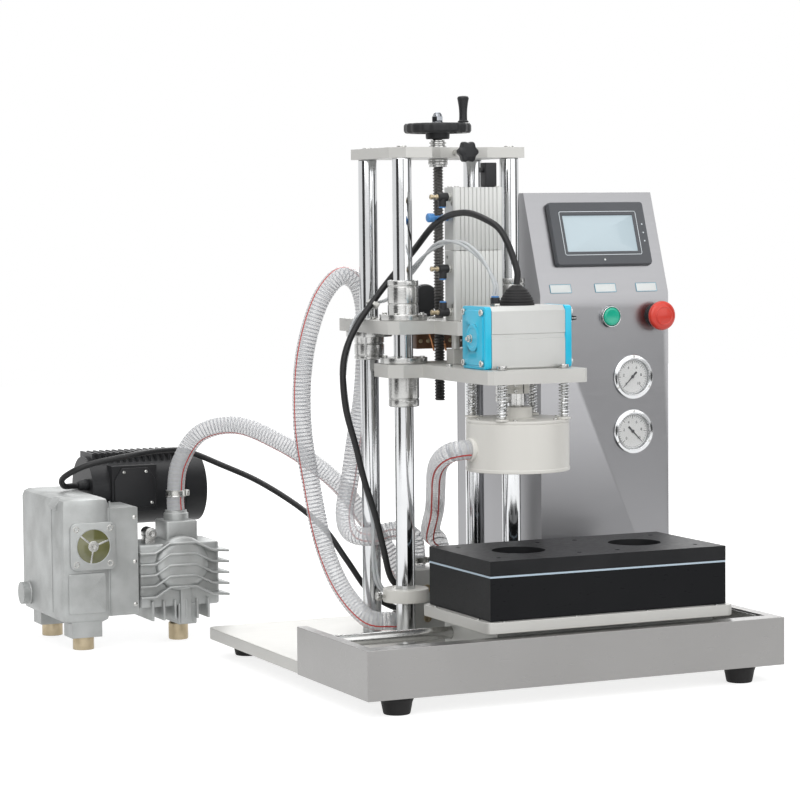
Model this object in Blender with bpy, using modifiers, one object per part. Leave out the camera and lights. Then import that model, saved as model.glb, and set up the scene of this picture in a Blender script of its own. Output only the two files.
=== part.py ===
"""Benchtop vacuum capping machine with its rotary vane pump. Metres, +Z up.

The machine is laid out from the middle of its tray's front face, with X to the right, Y to the
back and Z up from the table top. One empty then carries everything, so that the world origin is
at the bottom centre of the whole assembly.
"""

import math

import bmesh
import bpy
from mathutils import Vector

# ---------------------------------------------------------------- driving dimensions (metres)
GAP = 0.0003                # between touching neighbours
RUN = 0.0003                # radial clearance of a sliding or turning fit
LAP = 0.010                 # how far a cutter or a joined body runs past the face it meets
JOIN = 0.004                # the same where only a thin body is there to run into

# base and tray
BASE_WIDTH = 0.580
BASE_DEPTH = 0.550
BASE_THICK = 0.016
BASE_CORNER = 0.012
FOOT_HEIGHT = 0.022
FOOT_TOP_RADIUS = 0.021
FOOT_BOTTOM_RADIUS = 0.017
FOOT_INSET_X = 0.050
FOOT_INSET_Y = 0.028
TRAY_DEPTH = 0.220
TRAY_HEIGHT = 0.061
TRAY_SHEET = 0.002
TRAY_FRONT_LIP = 0.024
TRAY_SIDE_LIP = 0.014

# column frame and head, both centred on HEAD_X
HEAD_X = -0.030
HEAD_Y = 0.1156
COLUMN_RADIUS = 0.0125
COLUMN_SPACING_X = 0.1554
COLUMN_FRONT_Y = 0.288
COLUMN_SPACING_Y = 0.1096
COLUMN_LENGTH = 0.633
TOP_PLATE_THICK = 0.014
TOP_PLATE_MARGIN_X = 0.0165
TOP_PLATE_FRONT_MARGIN = 0.0125
TOP_PLATE_BACK_MARGIN = 0.0175
TOP_PLATE_CHAMFER = 0.017
TOP_NOTCH_DEPTH = 0.015
TOP_NOTCH_HALF_BACK = 0.0207
TOP_NOTCH_HALF_FRONT = 0.040

# flanged linear bearings on the columns
BEARING_RADIUS = 0.020
BEARING_FLANGE_RADIUS = 0.031
BEARING_FLANGE_THICK = 0.0076
LIFT_BEARING_LENGTH = 0.052
REAR_BEARING_LENGTH = 0.038
HEAD_BEARING_LENGTH = 0.064

# lift plate, lead screw and handwheel
LIFT_PLATE_BOTTOM = 0.4445
LIFT_PLATE_THICK = 0.017
PLATE_WING_MARGIN = 0.0335
LIFT_TONGUE_HALF = 0.050
LIFT_TONGUE_FRONT_Y = 0.172
LIFT_WING_FRONT_MARGIN = 0.037
LIFT_CHAMFER = 0.011
PLATE_HOLE_ROOM = 0.001       # radial room round a column or rod that only passes a plate
SCREW_RADIUS = 0.007
SCREW_BOTTOM = 0.3516
SCREW_BEARING_RADIUS = 0.013
SCREW_SLEEVE_RADIUS = 0.0095
SCREW_BEARING_DROP = 0.0105
WASHER_STACK_RADIUS = 0.0115
WASHER_STACK_HEIGHT = 0.011
HANDWHEEL_RADIUS = 0.045
HANDWHEEL_RIM_WIDTH = 0.009
HANDWHEEL_RIM_HEIGHT = 0.0136
HANDWHEEL_HUB_RADIUS = 0.0165
HANDWHEEL_HUB_DROP = 0.0085
DOME_NUT_RADIUS = 0.008
DOME_NUT_HEIGHT = 0.015
DOME_NUT_SHOULDER = 0.55     # share of the nut's height below its dome
DOME_NUT_CROWN = 0.88        # share of the height where the dome turns flat
GRIP_RADIUS_BASE = 0.0055
GRIP_RADIUS_TOP = 0.0078
GRIP_LENGTH = 0.035
GRIP_ANGLE = math.radians(-24.5)
GRIP_REACH = 0.034
GRIP_FOOT = 0.15             # shares of the grip's length: its straight foot and its shoulder
GRIP_SHOULDER = 0.93
GRIP_CROWN = 0.8             # share of the top radius that is flat
HANDWHEEL_BOSS_WALL = 0.0015
HANDWHEEL_RIM_DROP = 0.0005
SPOKE_HALF_WIDTH = 0.0055
SPOKE_INSET = 0.0025
SPOKE_LAP = 0.003
STAR_KNOB_RADIUS = 0.0145
STAR_KNOB_THICK = 0.015
STAR_KNOB_STEM_RADIUS = 0.004
STAR_KNOB_STEM = 0.030
STAR_KNOB_STEM_LAP = 0.005
STAR_KNOB_LOBES = 6
STAR_KNOB_LOBE = 0.14        # depth of a lobe as a share of the knob's radius
STAR_KNOB_POINTS = 30

# twin-rod air cylinder between the lift plate and the head plate
CYLINDER_WIDTH = 0.070
CYLINDER_DEPTH = 0.030
CYLINDER_HEIGHT = 0.171
CYLINDER_Y = 0.237
CYLINDER_EDGE = 0.004
CYLINDER_HEAD_WALL = 0.010
CYLINDER_ROD_RADIUS = 0.005
CYLINDER_ROD_SPACING = 0.054
CYLINDER_ROD_LENGTH = 0.155
ROD_YOKE_HEIGHT = 0.019
ROD_YOKE_WIDTH = 0.070
ROD_YOKE_DEPTH = 0.022

# head plate, rotary actuator, vacuum bell
HEAD_PLATE_BOTTOM = 0.3885
HEAD_PLATE_THICK = 0.017
HEAD_TONGUE_HALF = 0.069
HEAD_TONGUE_FRONT_Y = 0.054
HEAD_WING_FRONT_Y = 0.248
HEAD_WING_BACK_MARGIN = 0.034
HEAD_CHAMFER = 0.006
HEAD_WING_SLANT = 0.015
ACTUATOR_LENGTH = 0.1244
ACTUATOR_CAP = 0.011
ACTUATOR_DEPTH = 0.065
ACTUATOR_HEIGHT = 0.078
DOME_RADIUS = 0.0225
DOME_HEIGHT = 0.025
DOME_CROWN = (0.45, 0.93)    # shares of the dome's radius and height along its outline
DOME_SHOULDER = (0.82, 0.6)
DOME_RIM = 0.12
ACTUATOR_EDGE = 0.005
ACTUATOR_CAP_EDGE = 0.0025
BELL_RADIUS = 0.0655
BELL_BOTTOM = 0.2772
BELL_HEIGHT = 0.0651
BELL_WALL = 0.005
BELL_LID = 0.008
BELL_HUB_RADIUS = 0.0185
BELL_HUB_HEIGHT = 0.0143
BELL_PORT_RADIUS = 0.015
BELL_PORT_LENGTH = 0.004
BELL_PORT_HEIGHT = 0.028
POST_OFFSET = 0.043
POST_RADIUS = 0.004
POST_HEAD_RADIUS = 0.0065
POST_HEAD_HEIGHT = 0.005
SPINDLE_RADIUS = 0.0083
SPINDLE_TOP_RADIUS = 0.011
BELL_FLOAT = 0.015
FLOAT_ROOM = 0.001            # left above the bell at the end of its float
SPINDLE_ROOM = 0.002          # radial room round the spindle in the head plate
CHUCK_TOP_FLAT = 0.7          # share of the chuck's radius that is flat on top
CHUCK_SHOULDER = 0.008
CHUCK_LIP = 0.6               # share of the chuck's wall at its lip
CHUCK_RADIUS = 0.030
CHUCK_BOTTOM = 0.290
CHUCK_HEIGHT = 0.034
CHUCK_CUP_DEPTH = 0.020
CHUCK_WALL = 0.006

# sliding table and jar fixture
RAIL_RADIUS = 0.008
RAIL_Z = 0.068
RAIL_FRONT_Y = 0.057
RAIL_SPACING = 0.117
RAIL_SUPPORT_THICK = 0.014
RAIL_SUPPORT_MARGIN = 0.014
RAIL_SUPPORT_HEIGHT = 0.0445
RAIL_SEAT = 0.008             # how far a rail runs into each support
CARRIAGE_BOTTOM = 0.047
CARRIAGE_LEG = 0.050
CARRIAGE_LEFT_X = -0.098
CARRIAGE_RIGHT_X = 0.208
CARRIAGE_MARGIN = 0.017
CARRIAGE_WEB = 0.008
TABLE_BOTTOM = 0.087
TABLE_THICK = 0.0142
TABLE_MARGIN = 0.008
TABLE_CORNER = 0.010
FIXTURE_LENGTH = 0.3332
FIXTURE_DEPTH = 0.1752
FIXTURE_LOWER_HEIGHT = 0.053
FIXTURE_SEAL_HEIGHT = 0.0022
FIXTURE_TOP_HEIGHT = 0.0182
JAR_SPACING = 0.167
JAR_RADIUS = 0.034
JAR_FLOOR = 0.010
DOWEL_RADIUS = 0.0032
DOWEL_OFFSET_X = 0.0565
DOWEL_OFFSET_Y = 0.057

# control cabinet
CABINET_LEFT_X = 0.094
CABINET_RIGHT_X = 0.290
CABINET_FRONT_Y = 0.2905
CABINET_BACK_Y = 0.548
CABINET_FOLD_Z = 0.490
CABINET_TOP_Z = 0.626
CABINET_SLOPE_RUN = 0.048
CABINET_SHEET = 0.0015
REAR_PANEL_THICK = 0.0015
SCREEN_WIDTH = 0.146
SCREEN_HEIGHT = 0.090
SCREEN_THICK = 0.009
SCREEN_ALONG_SLOPE = 0.083
SCREEN_OFFSET = 0.0045        # to the right of the cabinet's middle
SCREEN_EDGE = 0.002
BUTTON_Z = 0.459
START_X = 0.199
ESTOP_X = 0.270
SELECTOR_X = 0.128
BUTTON_HOLE_RADIUS = 0.0111
START_RADIUS = 0.0105
START_PROUD = 0.006
ESTOP_RADIUS = 0.020
ESTOP_PROUD = 0.026
SELECTOR_RADIUS = 0.0105
SELECTOR_PROUD = 0.016
BUTTON_TAIL = 0.020
BUTTON_ROOM = 0.0006          # radial room of a button's barrel in its hole
ESTOP_CLEAR = 0.012           # from the panel to the back of the mushroom
SELECTOR_FACE = 0.008
SELECTOR_HANDLE_HALF = 0.0125
SELECTOR_HANDLE_HALF_THICK = 0.0035
SELECTOR_HANDLE_LAP = 0.002
GAUGE_X = 0.2345
GAUGE_UPPER_Z = 0.3765
GAUGE_LOWER_Z = 0.3025
GAUGE_FLANGE_RADIUS = 0.030
GAUGE_FLANGE_THICK = 0.004
GAUGE_BODY_RADIUS = 0.024
GAUGE_BODY_DEPTH = 0.028
GAUGE_CUP = 0.006
GAUGE_BEZEL_STEP = 0.001
NEEDLE_LIFT = 0.0005          # from the dial to the needle
NEEDLE_LENGTH = 0.019
NEEDLE_TAIL = 0.009
NEEDLE_WIDTH = 0.0022
NEEDLE_THICK = 0.0012
NEEDLE_UPPER_ANGLE = math.radians(-135)
NEEDLE_LOWER_ANGLE = math.radians(-45)

# vacuum manifold behind the columns
MANIFOLD_LEFT_X = -0.085
MANIFOLD_RIGHT_X = 0.010
MANIFOLD_FRONT_Y = 0.320
MANIFOLD_BACK_Y = 0.370
MANIFOLD_HEIGHT = 0.092
MANIFOLD_EDGE = 0.002

# vacuum pump
OIL_BOX_LEFT_X = -0.460
OIL_BOX_RIGHT_X = -0.390
OIL_BOX_FRONT_Y = 0.653
OIL_BOX_BACK_Y = 0.850
OIL_BOX_BOTTOM = 0.038
OIL_BOX_TOP = 0.212
OIL_BOX_EDGE = 0.010
END_COVER_WIDTH = 0.041
END_COVER_DEPTH = 0.080
END_COVER_BOTTOM = 0.046
END_COVER_TOP = 0.196
END_COVER_INSET = 0.003
END_COVER_LAP = 0.012
PUMP_FOOT_RADIUS = 0.0145
PUMP_FOOT_HEIGHT = 0.020
PUMP_BRACKET_HALF_X = 0.022
PUMP_BRACKET_HALF_Y = 0.018
PUMP_BRACKET_LAP = 0.012
PUMP_FOOT_LAP = 0.002
PUMP_FOOT_FRONT_INSET = 0.022
PUMP_FOOT_REAR_INSET = 0.030
DRAIN_BOSS_RADIUS = 0.016
DRAIN_PROUD = 0.012
DRAIN_Y = 0.815
DRAIN_Z = 0.064
SIGHT_PLATE_SIZE = 0.066
SIGHT_PLATE_THICK = 0.005
SIGHT_PLATE_EDGE = 0.0015
SIGHT_X = -0.4165
SIGHT_Z = 0.1455
CASTING_LEFT_X = -0.348
CASTING_RIGHT_X = -0.222
CASTING_FRONT_Y = 0.662
CASTING_BACK_Y = 0.738
CASTING_BOTTOM = 0.052
CASTING_TOP = 0.140
FIN_COUNT = 5
FIN_THICK = 0.0035
FIN_PITCH = 0.0155
FIN_START_Z = 0.064
FIN_OVERHANG = 0.012
FIN_SIDE_OVERHANG = 0.006
PUMP_LEG_OFFSET_X = 0.006      # of the pump's leg to the left of its inlet
PUMP_LEG_INSET_Y = 0.006
PUMP_LEG_HALF_X = 0.008
PUMP_LEG_HALF_Y = 0.009
PUMP_LEG_LAP = 0.020
INLET_X = -0.277
INLET_Y = 0.700
INLET_BLOCK = 0.038
INLET_BLOCK_TOP = 0.170
INLET_NECK_RADIUS = 0.0175
INLET_NECK_TOP = 0.184
MOTOR_Y = 0.798
MOTOR_Z = 0.207
MOTOR_RADIUS = 0.050
MOTOR_LEFT_X = -0.383
MOTOR_RIGHT_X = -0.243
MOTOR_FIN = 0.006
GLAND_Y = 0.772
GLAND_Z = 0.2185
MOTOR_FIN_COUNT = 14
MOTOR_FIN_PITCH = 0.0095
MOTOR_FIN_THICK = 0.0035
MOTOR_FIN_HALF = 0.028
MOTOR_FIN_START = 0.006
MOTOR_FIN_FOOT = 0.7           # share of the motor's radius where a fin starts
GLAND_RADIUS = 0.008
GLAND_PROUD = 0.006
TERMINAL_BOX_LID = 0.014
TERMINAL_BOX_BACK = 0.020      # in front of the motor's axis
SHAFT_BORE_DEPTH = 0.040
TERMINAL_BOX_LEFT_X = -0.357
TERMINAL_BOX_RIGHT_X = -0.290
TERMINAL_BOX_FRONT_Y = 0.728
TERMINAL_BOX_BOTTOM = 0.180
TERMINAL_BOX_TOP = 0.246
FAN_COVER_LENGTH = 0.032
FAN_COVER_WALL = 0.003
FAN_RADIUS = 0.040
FAN_WIDTH = 0.012
FAN_SHAFT_RADIUS = 0.006
FAN_SHAFT_DEPTH = 0.036
FAN_HUB_RADIUS = 0.014
FAN_BLADES = 7
FAN_BLADE_HALF_THICK = 0.0012

# cords: radius of each
CORD_STEP = 0.024
VACUUM_HOSE_RADIUS = 0.0125
PUMP_CABLE_RADIUS = 0.0042
ACTUATOR_CABLE_RADIUS = 0.0042
AIR_TUBE_RADIUS = 0.0042

# routes chosen by hand, as points that a smooth curve passes through
PUMP_HOSE_ROUTE = [
    (-0.277, 0.700, 0.1843), (-0.277, 0.700, 0.205), (-0.271, 0.697, 0.250), (-0.246, 0.680, 0.293),
    (-0.203, 0.642, 0.305), (-0.160, 0.592, 0.283), (-0.130, 0.543, 0.256), (-0.107, 0.502, 0.226),
    (-0.086, 0.468, 0.185), (-0.062, 0.445, 0.140), (-0.045, 0.420, 0.100), (-0.040, 0.390, 0.088),
    (-0.040, 0.3703, 0.088),
]
LOOP_HOSE_ROUTE = [
    (-0.0853, 0.345, 0.060), (-0.106, 0.345, 0.060), (-0.134, 0.358, 0.066), (-0.154, 0.398, 0.105),
    (-0.166, 0.430, 0.165), (-0.177, 0.440, 0.240), (-0.188, 0.440, 0.312), (-0.188, 0.440, 0.379),
    (-0.179, 0.440, 0.434), (-0.159, 0.440, 0.487), (-0.132, 0.440, 0.516), (-0.107, 0.442, 0.508),
    (-0.094, 0.445, 0.475), (-0.093, 0.445, 0.416), (-0.100, 0.442, 0.349), (-0.112, 0.438, 0.295),
    (-0.122, 0.436, 0.241), (-0.135, 0.424, 0.200), (-0.140, 0.394, 0.176), (-0.124, 0.364, 0.172),
    (-0.096, 0.349, 0.180), (-0.072, 0.345, 0.172), (-0.0665, 0.345, 0.150), (-0.0665, 0.345, 0.1306),
]
CHAMBER_HOSE_ROUTE = [
    (-0.0998, 0.1156, 0.3052), (-0.109, 0.1156, 0.3052), (-0.121, 0.126, 0.301), (-0.122, 0.150, 0.289),
    (-0.113, 0.180, 0.272), (-0.098, 0.214, 0.249), (-0.082, 0.252, 0.218), (-0.070, 0.290, 0.190),
    (-0.054, 0.322, 0.176), (-0.035, 0.343, 0.164), (-0.030, 0.345, 0.149), (-0.030, 0.345, 0.1306),
]
PUMP_CABLE_ROUTE = [
    (-0.3893, 0.772, 0.2185), (-0.405, 0.772, 0.2185), (-0.422, 0.762, 0.220), (-0.429, 0.740, 0.234),
    (-0.400, 0.719, 0.252), (-0.339, 0.713, 0.263), (-0.285, 0.727, 0.2665), (-0.246, 0.732, 0.263),
    (-0.205, 0.702, 0.244), (-0.166, 0.657, 0.222), (-0.129, 0.602, 0.190), (-0.109, 0.552, 0.160),
    (-0.090, 0.522, 0.120), (-0.060, 0.512, 0.075), (-0.020, 0.508, 0.050), (0.030, 0.508, 0.0435),
    (0.072, 0.508, 0.052), (0.0937, 0.508, 0.052),
]
ACTUATOR_CABLE_ROUTE = [
    (-0.030, 0.1156, 0.5096), (-0.030, 0.1156, 0.530), (-0.042, 0.130, 0.574), (-0.056, 0.152, 0.592),
    (-0.069, 0.190, 0.600), (-0.078, 0.246, 0.588), (-0.086, 0.307, 0.548), (-0.107, 0.334, 0.512),
    (-0.130, 0.334, 0.485), (-0.154, 0.332, 0.455), (-0.170, 0.332, 0.423), (-0.175, 0.332, 0.391),
    (-0.171, 0.332, 0.345), (-0.158, 0.332, 0.298), (-0.146, 0.332, 0.251), (-0.131, 0.332, 0.205),
    (-0.120, 0.331, 0.160), (-0.112, 0.330, 0.125), (-0.101, 0.330, 0.110), (-0.0853, 0.330, 0.110),
]
AIR_TUBE_ROUTE = [
    (-0.068, 0.100, 0.4982), (-0.068, 0.100, 0.512), (-0.077, 0.120, 0.543), (-0.086, 0.165, 0.563),
    (-0.087, 0.235, 0.557), (-0.087, 0.304, 0.525), (-0.103, 0.335, 0.491), (-0.123, 0.346, 0.481),
    (-0.1475, 0.346, 0.464), (-0.158, 0.346, 0.438), (-0.166, 0.346, 0.400), (-0.164, 0.346, 0.345),
    (-0.151, 0.346, 0.292), (-0.139, 0.346, 0.246), (-0.130, 0.342, 0.200), (-0.131, 0.338, 0.150),
    (-0.122, 0.342, 0.110), (-0.101, 0.346, 0.095), (-0.0853, 0.346, 0.095),
]

# ---------------------------------------------------------------- worked-out sizes
BASE_TOP = FOOT_HEIGHT + BASE_THICK
TRAY_TOP = FOOT_HEIGHT + TRAY_HEIGHT
COLUMN_BOTTOM = BASE_TOP + GAP
COLUMN_TOP = COLUMN_BOTTOM + COLUMN_LENGTH
COLUMN_REAR_Y = COLUMN_FRONT_Y + COLUMN_SPACING_Y
COLUMN_X = {"left": HEAD_X - COLUMN_SPACING_X / 2, "right": HEAD_X + COLUMN_SPACING_X / 2}
SCREW_Y = COLUMN_FRONT_Y + COLUMN_SPACING_Y / 2
TOP_PLATE_BOTTOM = COLUMN_TOP + GAP
TOP_PLATE_TOP = TOP_PLATE_BOTTOM + TOP_PLATE_THICK
LIFT_PLATE_TOP = LIFT_PLATE_BOTTOM + LIFT_PLATE_THICK
HEAD_PLATE_TOP = HEAD_PLATE_BOTTOM + HEAD_PLATE_THICK
PLATE_HALF_WIDTH = COLUMN_SPACING_X / 2 + PLATE_WING_MARGIN
WHEEL_BOTTOM = TOP_PLATE_TOP + WASHER_STACK_HEIGHT + GAP
WHEEL_TOP = WHEEL_BOTTOM + HANDWHEEL_HUB_DROP + HANDWHEEL_RIM_HEIGHT
BELL_TOP = BELL_BOTTOM + BELL_HEIGHT
FIXTURE_X = HEAD_X + JAR_SPACING / 2
FIXTURE_BOTTOM = TABLE_BOTTOM + TABLE_THICK + GAP
SEAL_BOTTOM = FIXTURE_BOTTOM + FIXTURE_LOWER_HEIGHT + GAP
FIXTURE_TOP_BOTTOM = SEAL_BOTTOM + FIXTURE_SEAL_HEIGHT + GAP
RAIL_REAR_Y = RAIL_FRONT_Y + RAIL_SPACING
CABINET_WIDTH = CABINET_RIGHT_X - CABINET_LEFT_X
MANIFOLD_TOP = BASE_TOP + GAP + MANIFOLD_HEIGHT
ROUND = 36                  # facets of a large round piece
SMALL_ROUND = 20            # facets of a small one

# the world origin is at the bottom centre of the assembly's box
ORIGIN_X = -(OIL_BOX_LEFT_X - DRAIN_PROUD + BASE_WIDTH / 2) / 2
ORIGIN_Y = -OIL_BOX_BACK_Y / 2


# ---------------------------------------------------------------- scene and helpers
def clear_scene():
    """Removes the startup objects and makes the two collections."""
    for obj in list(bpy.data.objects):
        bpy.data.objects.remove(obj, do_unlink=True)
    made = []
    for name in ("capping_machine", "cutters"):
        made.append(bpy.data.collections.new(name))
        bpy.context.scene.collection.children.link(made[-1])
    made[1].hide_render = True
    return made


PARTS, CUTTERS = clear_scene()
LAYOUT = bpy.data.objects.new("layout_origin", None)
LAYOUT.location = (ORIGIN_X, ORIGIN_Y, 0)
PARTS.objects.link(LAYOUT)

FINISHES = {
    "white_plate": ((0.78, 0.77, 0.74), 0.45, 0.0),
    "stainless": ((0.62, 0.63, 0.65), 0.32, 1.0),
    "chrome": ((0.75, 0.76, 0.78), 0.12, 1.0),
    "rubber": ((0.025, 0.025, 0.028), 0.8, 0.0),
    "black_plastic": ((0.03, 0.03, 0.035), 0.45, 0.0),
    "black_nylon": ((0.02, 0.022, 0.025), 0.5, 0.0),
    "anodised": ((0.68, 0.69, 0.68), 0.4, 0.6),
    "cyan_cap": ((0.06, 0.60, 0.80), 0.35, 0.0),
    "white_nylon": ((0.80, 0.80, 0.77), 0.5, 0.0),
    "seal": ((0.62, 0.72, 0.80), 0.5, 0.0),
    "green": ((0.02, 0.35, 0.10), 0.35, 0.0),
    "red": ((0.62, 0.02, 0.02), 0.35, 0.0),
    "cast_metal": ((0.55, 0.56, 0.56), 0.5, 0.7),
    "hose": ((0.80, 0.80, 0.80), 0.3, 0.0),
    "screw_steel": ((0.20, 0.21, 0.21), 0.45, 0.8),
}


def material_of(name):
    """The Principled material of one object, in the finish named."""
    colour, roughness, metallic = FINISHES[name]
    material = bpy.data.materials.new(name)
    material.use_nodes = True
    shader = material.node_tree.nodes["Principled BSDF"]
    shader.inputs["Base Color"].default_value = (*colour, 1)
    shader.inputs["Roughness"].default_value = roughness
    shader.inputs["Metallic"].default_value = metallic
    return material


def register(obj, finish):
    """Puts a finished piece in the machine's collection, under the layout empty."""
    for owner in list(obj.users_collection):
        owner.objects.unlink(obj)
    if finish is None:
        CUTTERS.objects.link(obj)
        obj.hide_render = True
        obj.display_type = "WIRE"
    else:
        PARTS.objects.link(obj)
        obj.data.materials.append(material_of(finish))
    obj.parent = LAYOUT
    return obj


def mesh_object(name, work, finish, location=(0, 0, 0)):
    """A new object from a bmesh, with its origin at location."""
    bmesh.ops.recalc_face_normals(work, faces=work.faces)
    mesh = bpy.data.meshes.new(name)
    work.to_mesh(mesh)
    work.free()
    obj = bpy.data.objects.new(name, mesh)
    obj.location = location
    return register(obj, finish)


def box(name, low, high, finish, edge=0.0, segments=1):
    """A block between two corners, its edges rounded by a Bevel."""
    low = Vector(low)
    high = Vector(high)
    work = bmesh.new()
    bmesh.ops.create_cube(work, size=1)
    bmesh.ops.scale(work, vec=high - low, verts=work.verts)
    obj = mesh_object(name, work, finish, (low + high) / 2)
    if edge:
        bevel = obj.modifiers.new("edges", "BEVEL")
        bevel.width = edge
        bevel.segments = segments
    return obj


def rod(name, start, end, radius, finish, facets=SMALL_ROUND, end_radius=None):
    """A round bar or cone frustum from start to end, with its origin at start."""
    start = Vector(start)
    run = Vector(end) - start
    work = bmesh.new()
    bmesh.ops.create_cone(
        work,
        cap_ends=True,
        segments=facets,
        radius1=radius,
        radius2=radius if end_radius is None else end_radius,
        depth=run.length,
    )
    bmesh.ops.translate(work, vec=(0, 0, run.length / 2), verts=work.verts)
    turn = run.to_track_quat("Z", "Y").to_matrix()
    bmesh.ops.rotate(work, cent=(0, 0, 0), matrix=turn, verts=work.verts)
    obj = mesh_object(name, work, finish, start)
    obj.data.shade_smooth()
    obj.data.set_sharp_from_angle(angle=math.radians(35))
    return obj


def turned(name, profile, centre, finish, facets=ROUND):
    """A piece turned about the vertical through centre from a closed (radius, height) profile."""
    work = bmesh.new()
    points = [work.verts.new((radius, 0, height)) for radius, height in profile]
    for first, second in zip(points, points[1:] + points[:1]):
        work.edges.new((first, second))
    mesh = bpy.data.meshes.new(name)
    work.to_mesh(mesh)
    work.free()
    obj = register(bpy.data.objects.new(name, mesh), finish)
    obj.location = centre
    screw = obj.modifiers.new("turning", "SCREW")
    screw.axis = "Z"
    screw.steps = facets
    screw.render_steps = facets
    screw.use_merge_vertices = True
    screw.merge_threshold = 0.00002
    return obj


def circle(x, y, radius, facets):
    """The points of a round hole in an outline."""
    turns = [2 * math.pi * step / facets for step in range(facets)]
    return [(x + radius * math.cos(turn), y + radius * math.sin(turn)) for turn in turns]


def outline(name, rings, low, thickness, finish, turn=(0, 0, 0), origin=(0, 0, 0)):
    """A flat plate: the first ring is its edge, the others are holes. It rises from low."""
    curve = bpy.data.curves.new(name, "CURVE")
    curve.dimensions = "2D"
    curve.fill_mode = "BOTH"
    curve.extrude = thickness / 2
    for ring in rings:
        spline = curve.splines.new("POLY")
        spline.points.add(len(ring) - 1)
        for point, (x, y) in zip(spline.points, ring):
            point.co = (x, y, 0, 1)
        spline.use_cyclic_u = True
    obj = bpy.data.objects.new(name, curve)
    bpy.context.scene.collection.objects.link(obj)
    bpy.context.view_layer.update()
    evaluated = obj.evaluated_get(bpy.context.evaluated_depsgraph_get())
    mesh = bpy.data.meshes.new_from_object(evaluated)
    work = bmesh.new()
    work.from_mesh(mesh)
    bmesh.ops.remove_doubles(work, verts=work.verts, dist=0.00001)
    bmesh.ops.translate(work, vec=(0, 0, low + thickness / 2), verts=work.verts)
    bpy.data.objects.remove(obj, do_unlink=True)
    bpy.data.meshes.remove(mesh)
    plate = mesh_object(name, work, finish, origin)
    plate.rotation_euler = turn
    return plate


def combine(obj, others, operation):
    """Adds or cuts helper bodies with exact Booleans."""
    for other in others:
        step = obj.modifiers.new(f"{operation.lower()} {other.name}", "BOOLEAN")
        step.operation = operation
        step.object = other
    return obj


def smooth_route(points, spacing):
    """Catmull-Rom curve through the points, read off about every spacing."""
    places = [Vector(point) for point in points]
    places = [2 * places[0] - places[1]] + places + [2 * places[-1] - places[-2]]
    found = []
    for before, start, end, after in zip(places, places[1:], places[2:], places[3:]):
        steps = max(1, round((end - start).length / spacing))
        for step in range(steps):
            t = step / steps
            ahead = (end - before) * t
            bend = (2 * before - 5 * start + 4 * end - after) * t**2
            twist = (3 * start - before - 3 * end + after) * t**3
            found.append(start + (ahead + bend + twist) / 2)
    return found + [places[-2]]


def cord(name, route, radius, finish):
    """A cord's plain solid: a tube along a smooth curve through its route."""
    curve = bpy.data.curves.new(name, "CURVE")
    curve.dimensions = "3D"
    curve.bevel_depth = radius
    curve.bevel_resolution = 2
    curve.use_fill_caps = True
    spline = curve.splines.new("POLY")
    places = smooth_route(route, CORD_STEP)
    spline.points.add(len(places) - 1)
    for point, place in zip(spline.points, places):
        point.co = (*place, 1)
    return register(bpy.data.objects.new(name, curve), finish)


# ---------------------------------------------------------------- base, tray, feet, columns
def rounded_rectangle(low, high, radius, steps=3):
    """Outline of a rectangle with each corner an arc."""
    ring = []
    corners = (
        (high[0] - radius, high[1] - radius, 0),
        (low[0] + radius, high[1] - radius, 1),
        (low[0] + radius, low[1] + radius, 2),
        (high[0] - radius, low[1] + radius, 3),
    )
    for x, y, quarter in corners:
        for step in range(steps + 1):
            turn = (quarter + step / steps) * math.pi / 2
            ring.append((x + radius * math.cos(turn), y + radius * math.sin(turn)))
    return ring


def make_base():
    half = BASE_WIDTH / 2 - TRAY_SHEET - GAP
    front = TRAY_SHEET + GAP
    edge = rounded_rectangle((-half, front), (half, BASE_DEPTH), BASE_CORNER)
    outline("base_plate", [edge], FOOT_HEIGHT, BASE_THICK, "white_plate")
    foot_x = BASE_WIDTH / 2 - FOOT_INSET_X
    for end, y in (("front", FOOT_INSET_Y), ("rear", BASE_DEPTH - FOOT_INSET_Y)):
        for side, x in (("left", -foot_x), ("right", foot_x)):
            rod(
                f"foot_{end}_{side}", (x, y, 0), (x, y, FOOT_HEIGHT - GAP),
                FOOT_BOTTOM_RADIUS, "rubber", ROUND // 2, FOOT_TOP_RADIUS,
            )


def make_tray():
    half = BASE_WIDTH / 2
    tray = box("front_tray", (-half, 0, FOOT_HEIGHT), (half, TRAY_DEPTH, TRAY_TOP), "stainless")
    beyond = TRAY_DEPTH + LAP
    inside = box(
        "tray_inside",
        (-half + TRAY_SHEET, TRAY_SHEET, FOOT_HEIGHT - LAP),
        (half - TRAY_SHEET, beyond, TRAY_TOP - TRAY_SHEET),
        None,
    )
    mouth = box(
        "tray_mouth",
        (-half + TRAY_SIDE_LIP, TRAY_FRONT_LIP, BASE_TOP),
        (half - TRAY_SIDE_LIP, beyond, TRAY_TOP + LAP),
        None,
    )
    combine(tray, [inside, mouth], "DIFFERENCE")


def make_columns():
    for end, y in (("front", COLUMN_FRONT_Y), ("rear", COLUMN_REAR_Y)):
        for side, x in COLUMN_X.items():
            rod(
                f"column_{end}_{side}", (x, y, COLUMN_BOTTOM), (x, y, COLUMN_TOP),
                COLUMN_RADIUS, "chrome", ROUND,
            )


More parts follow.
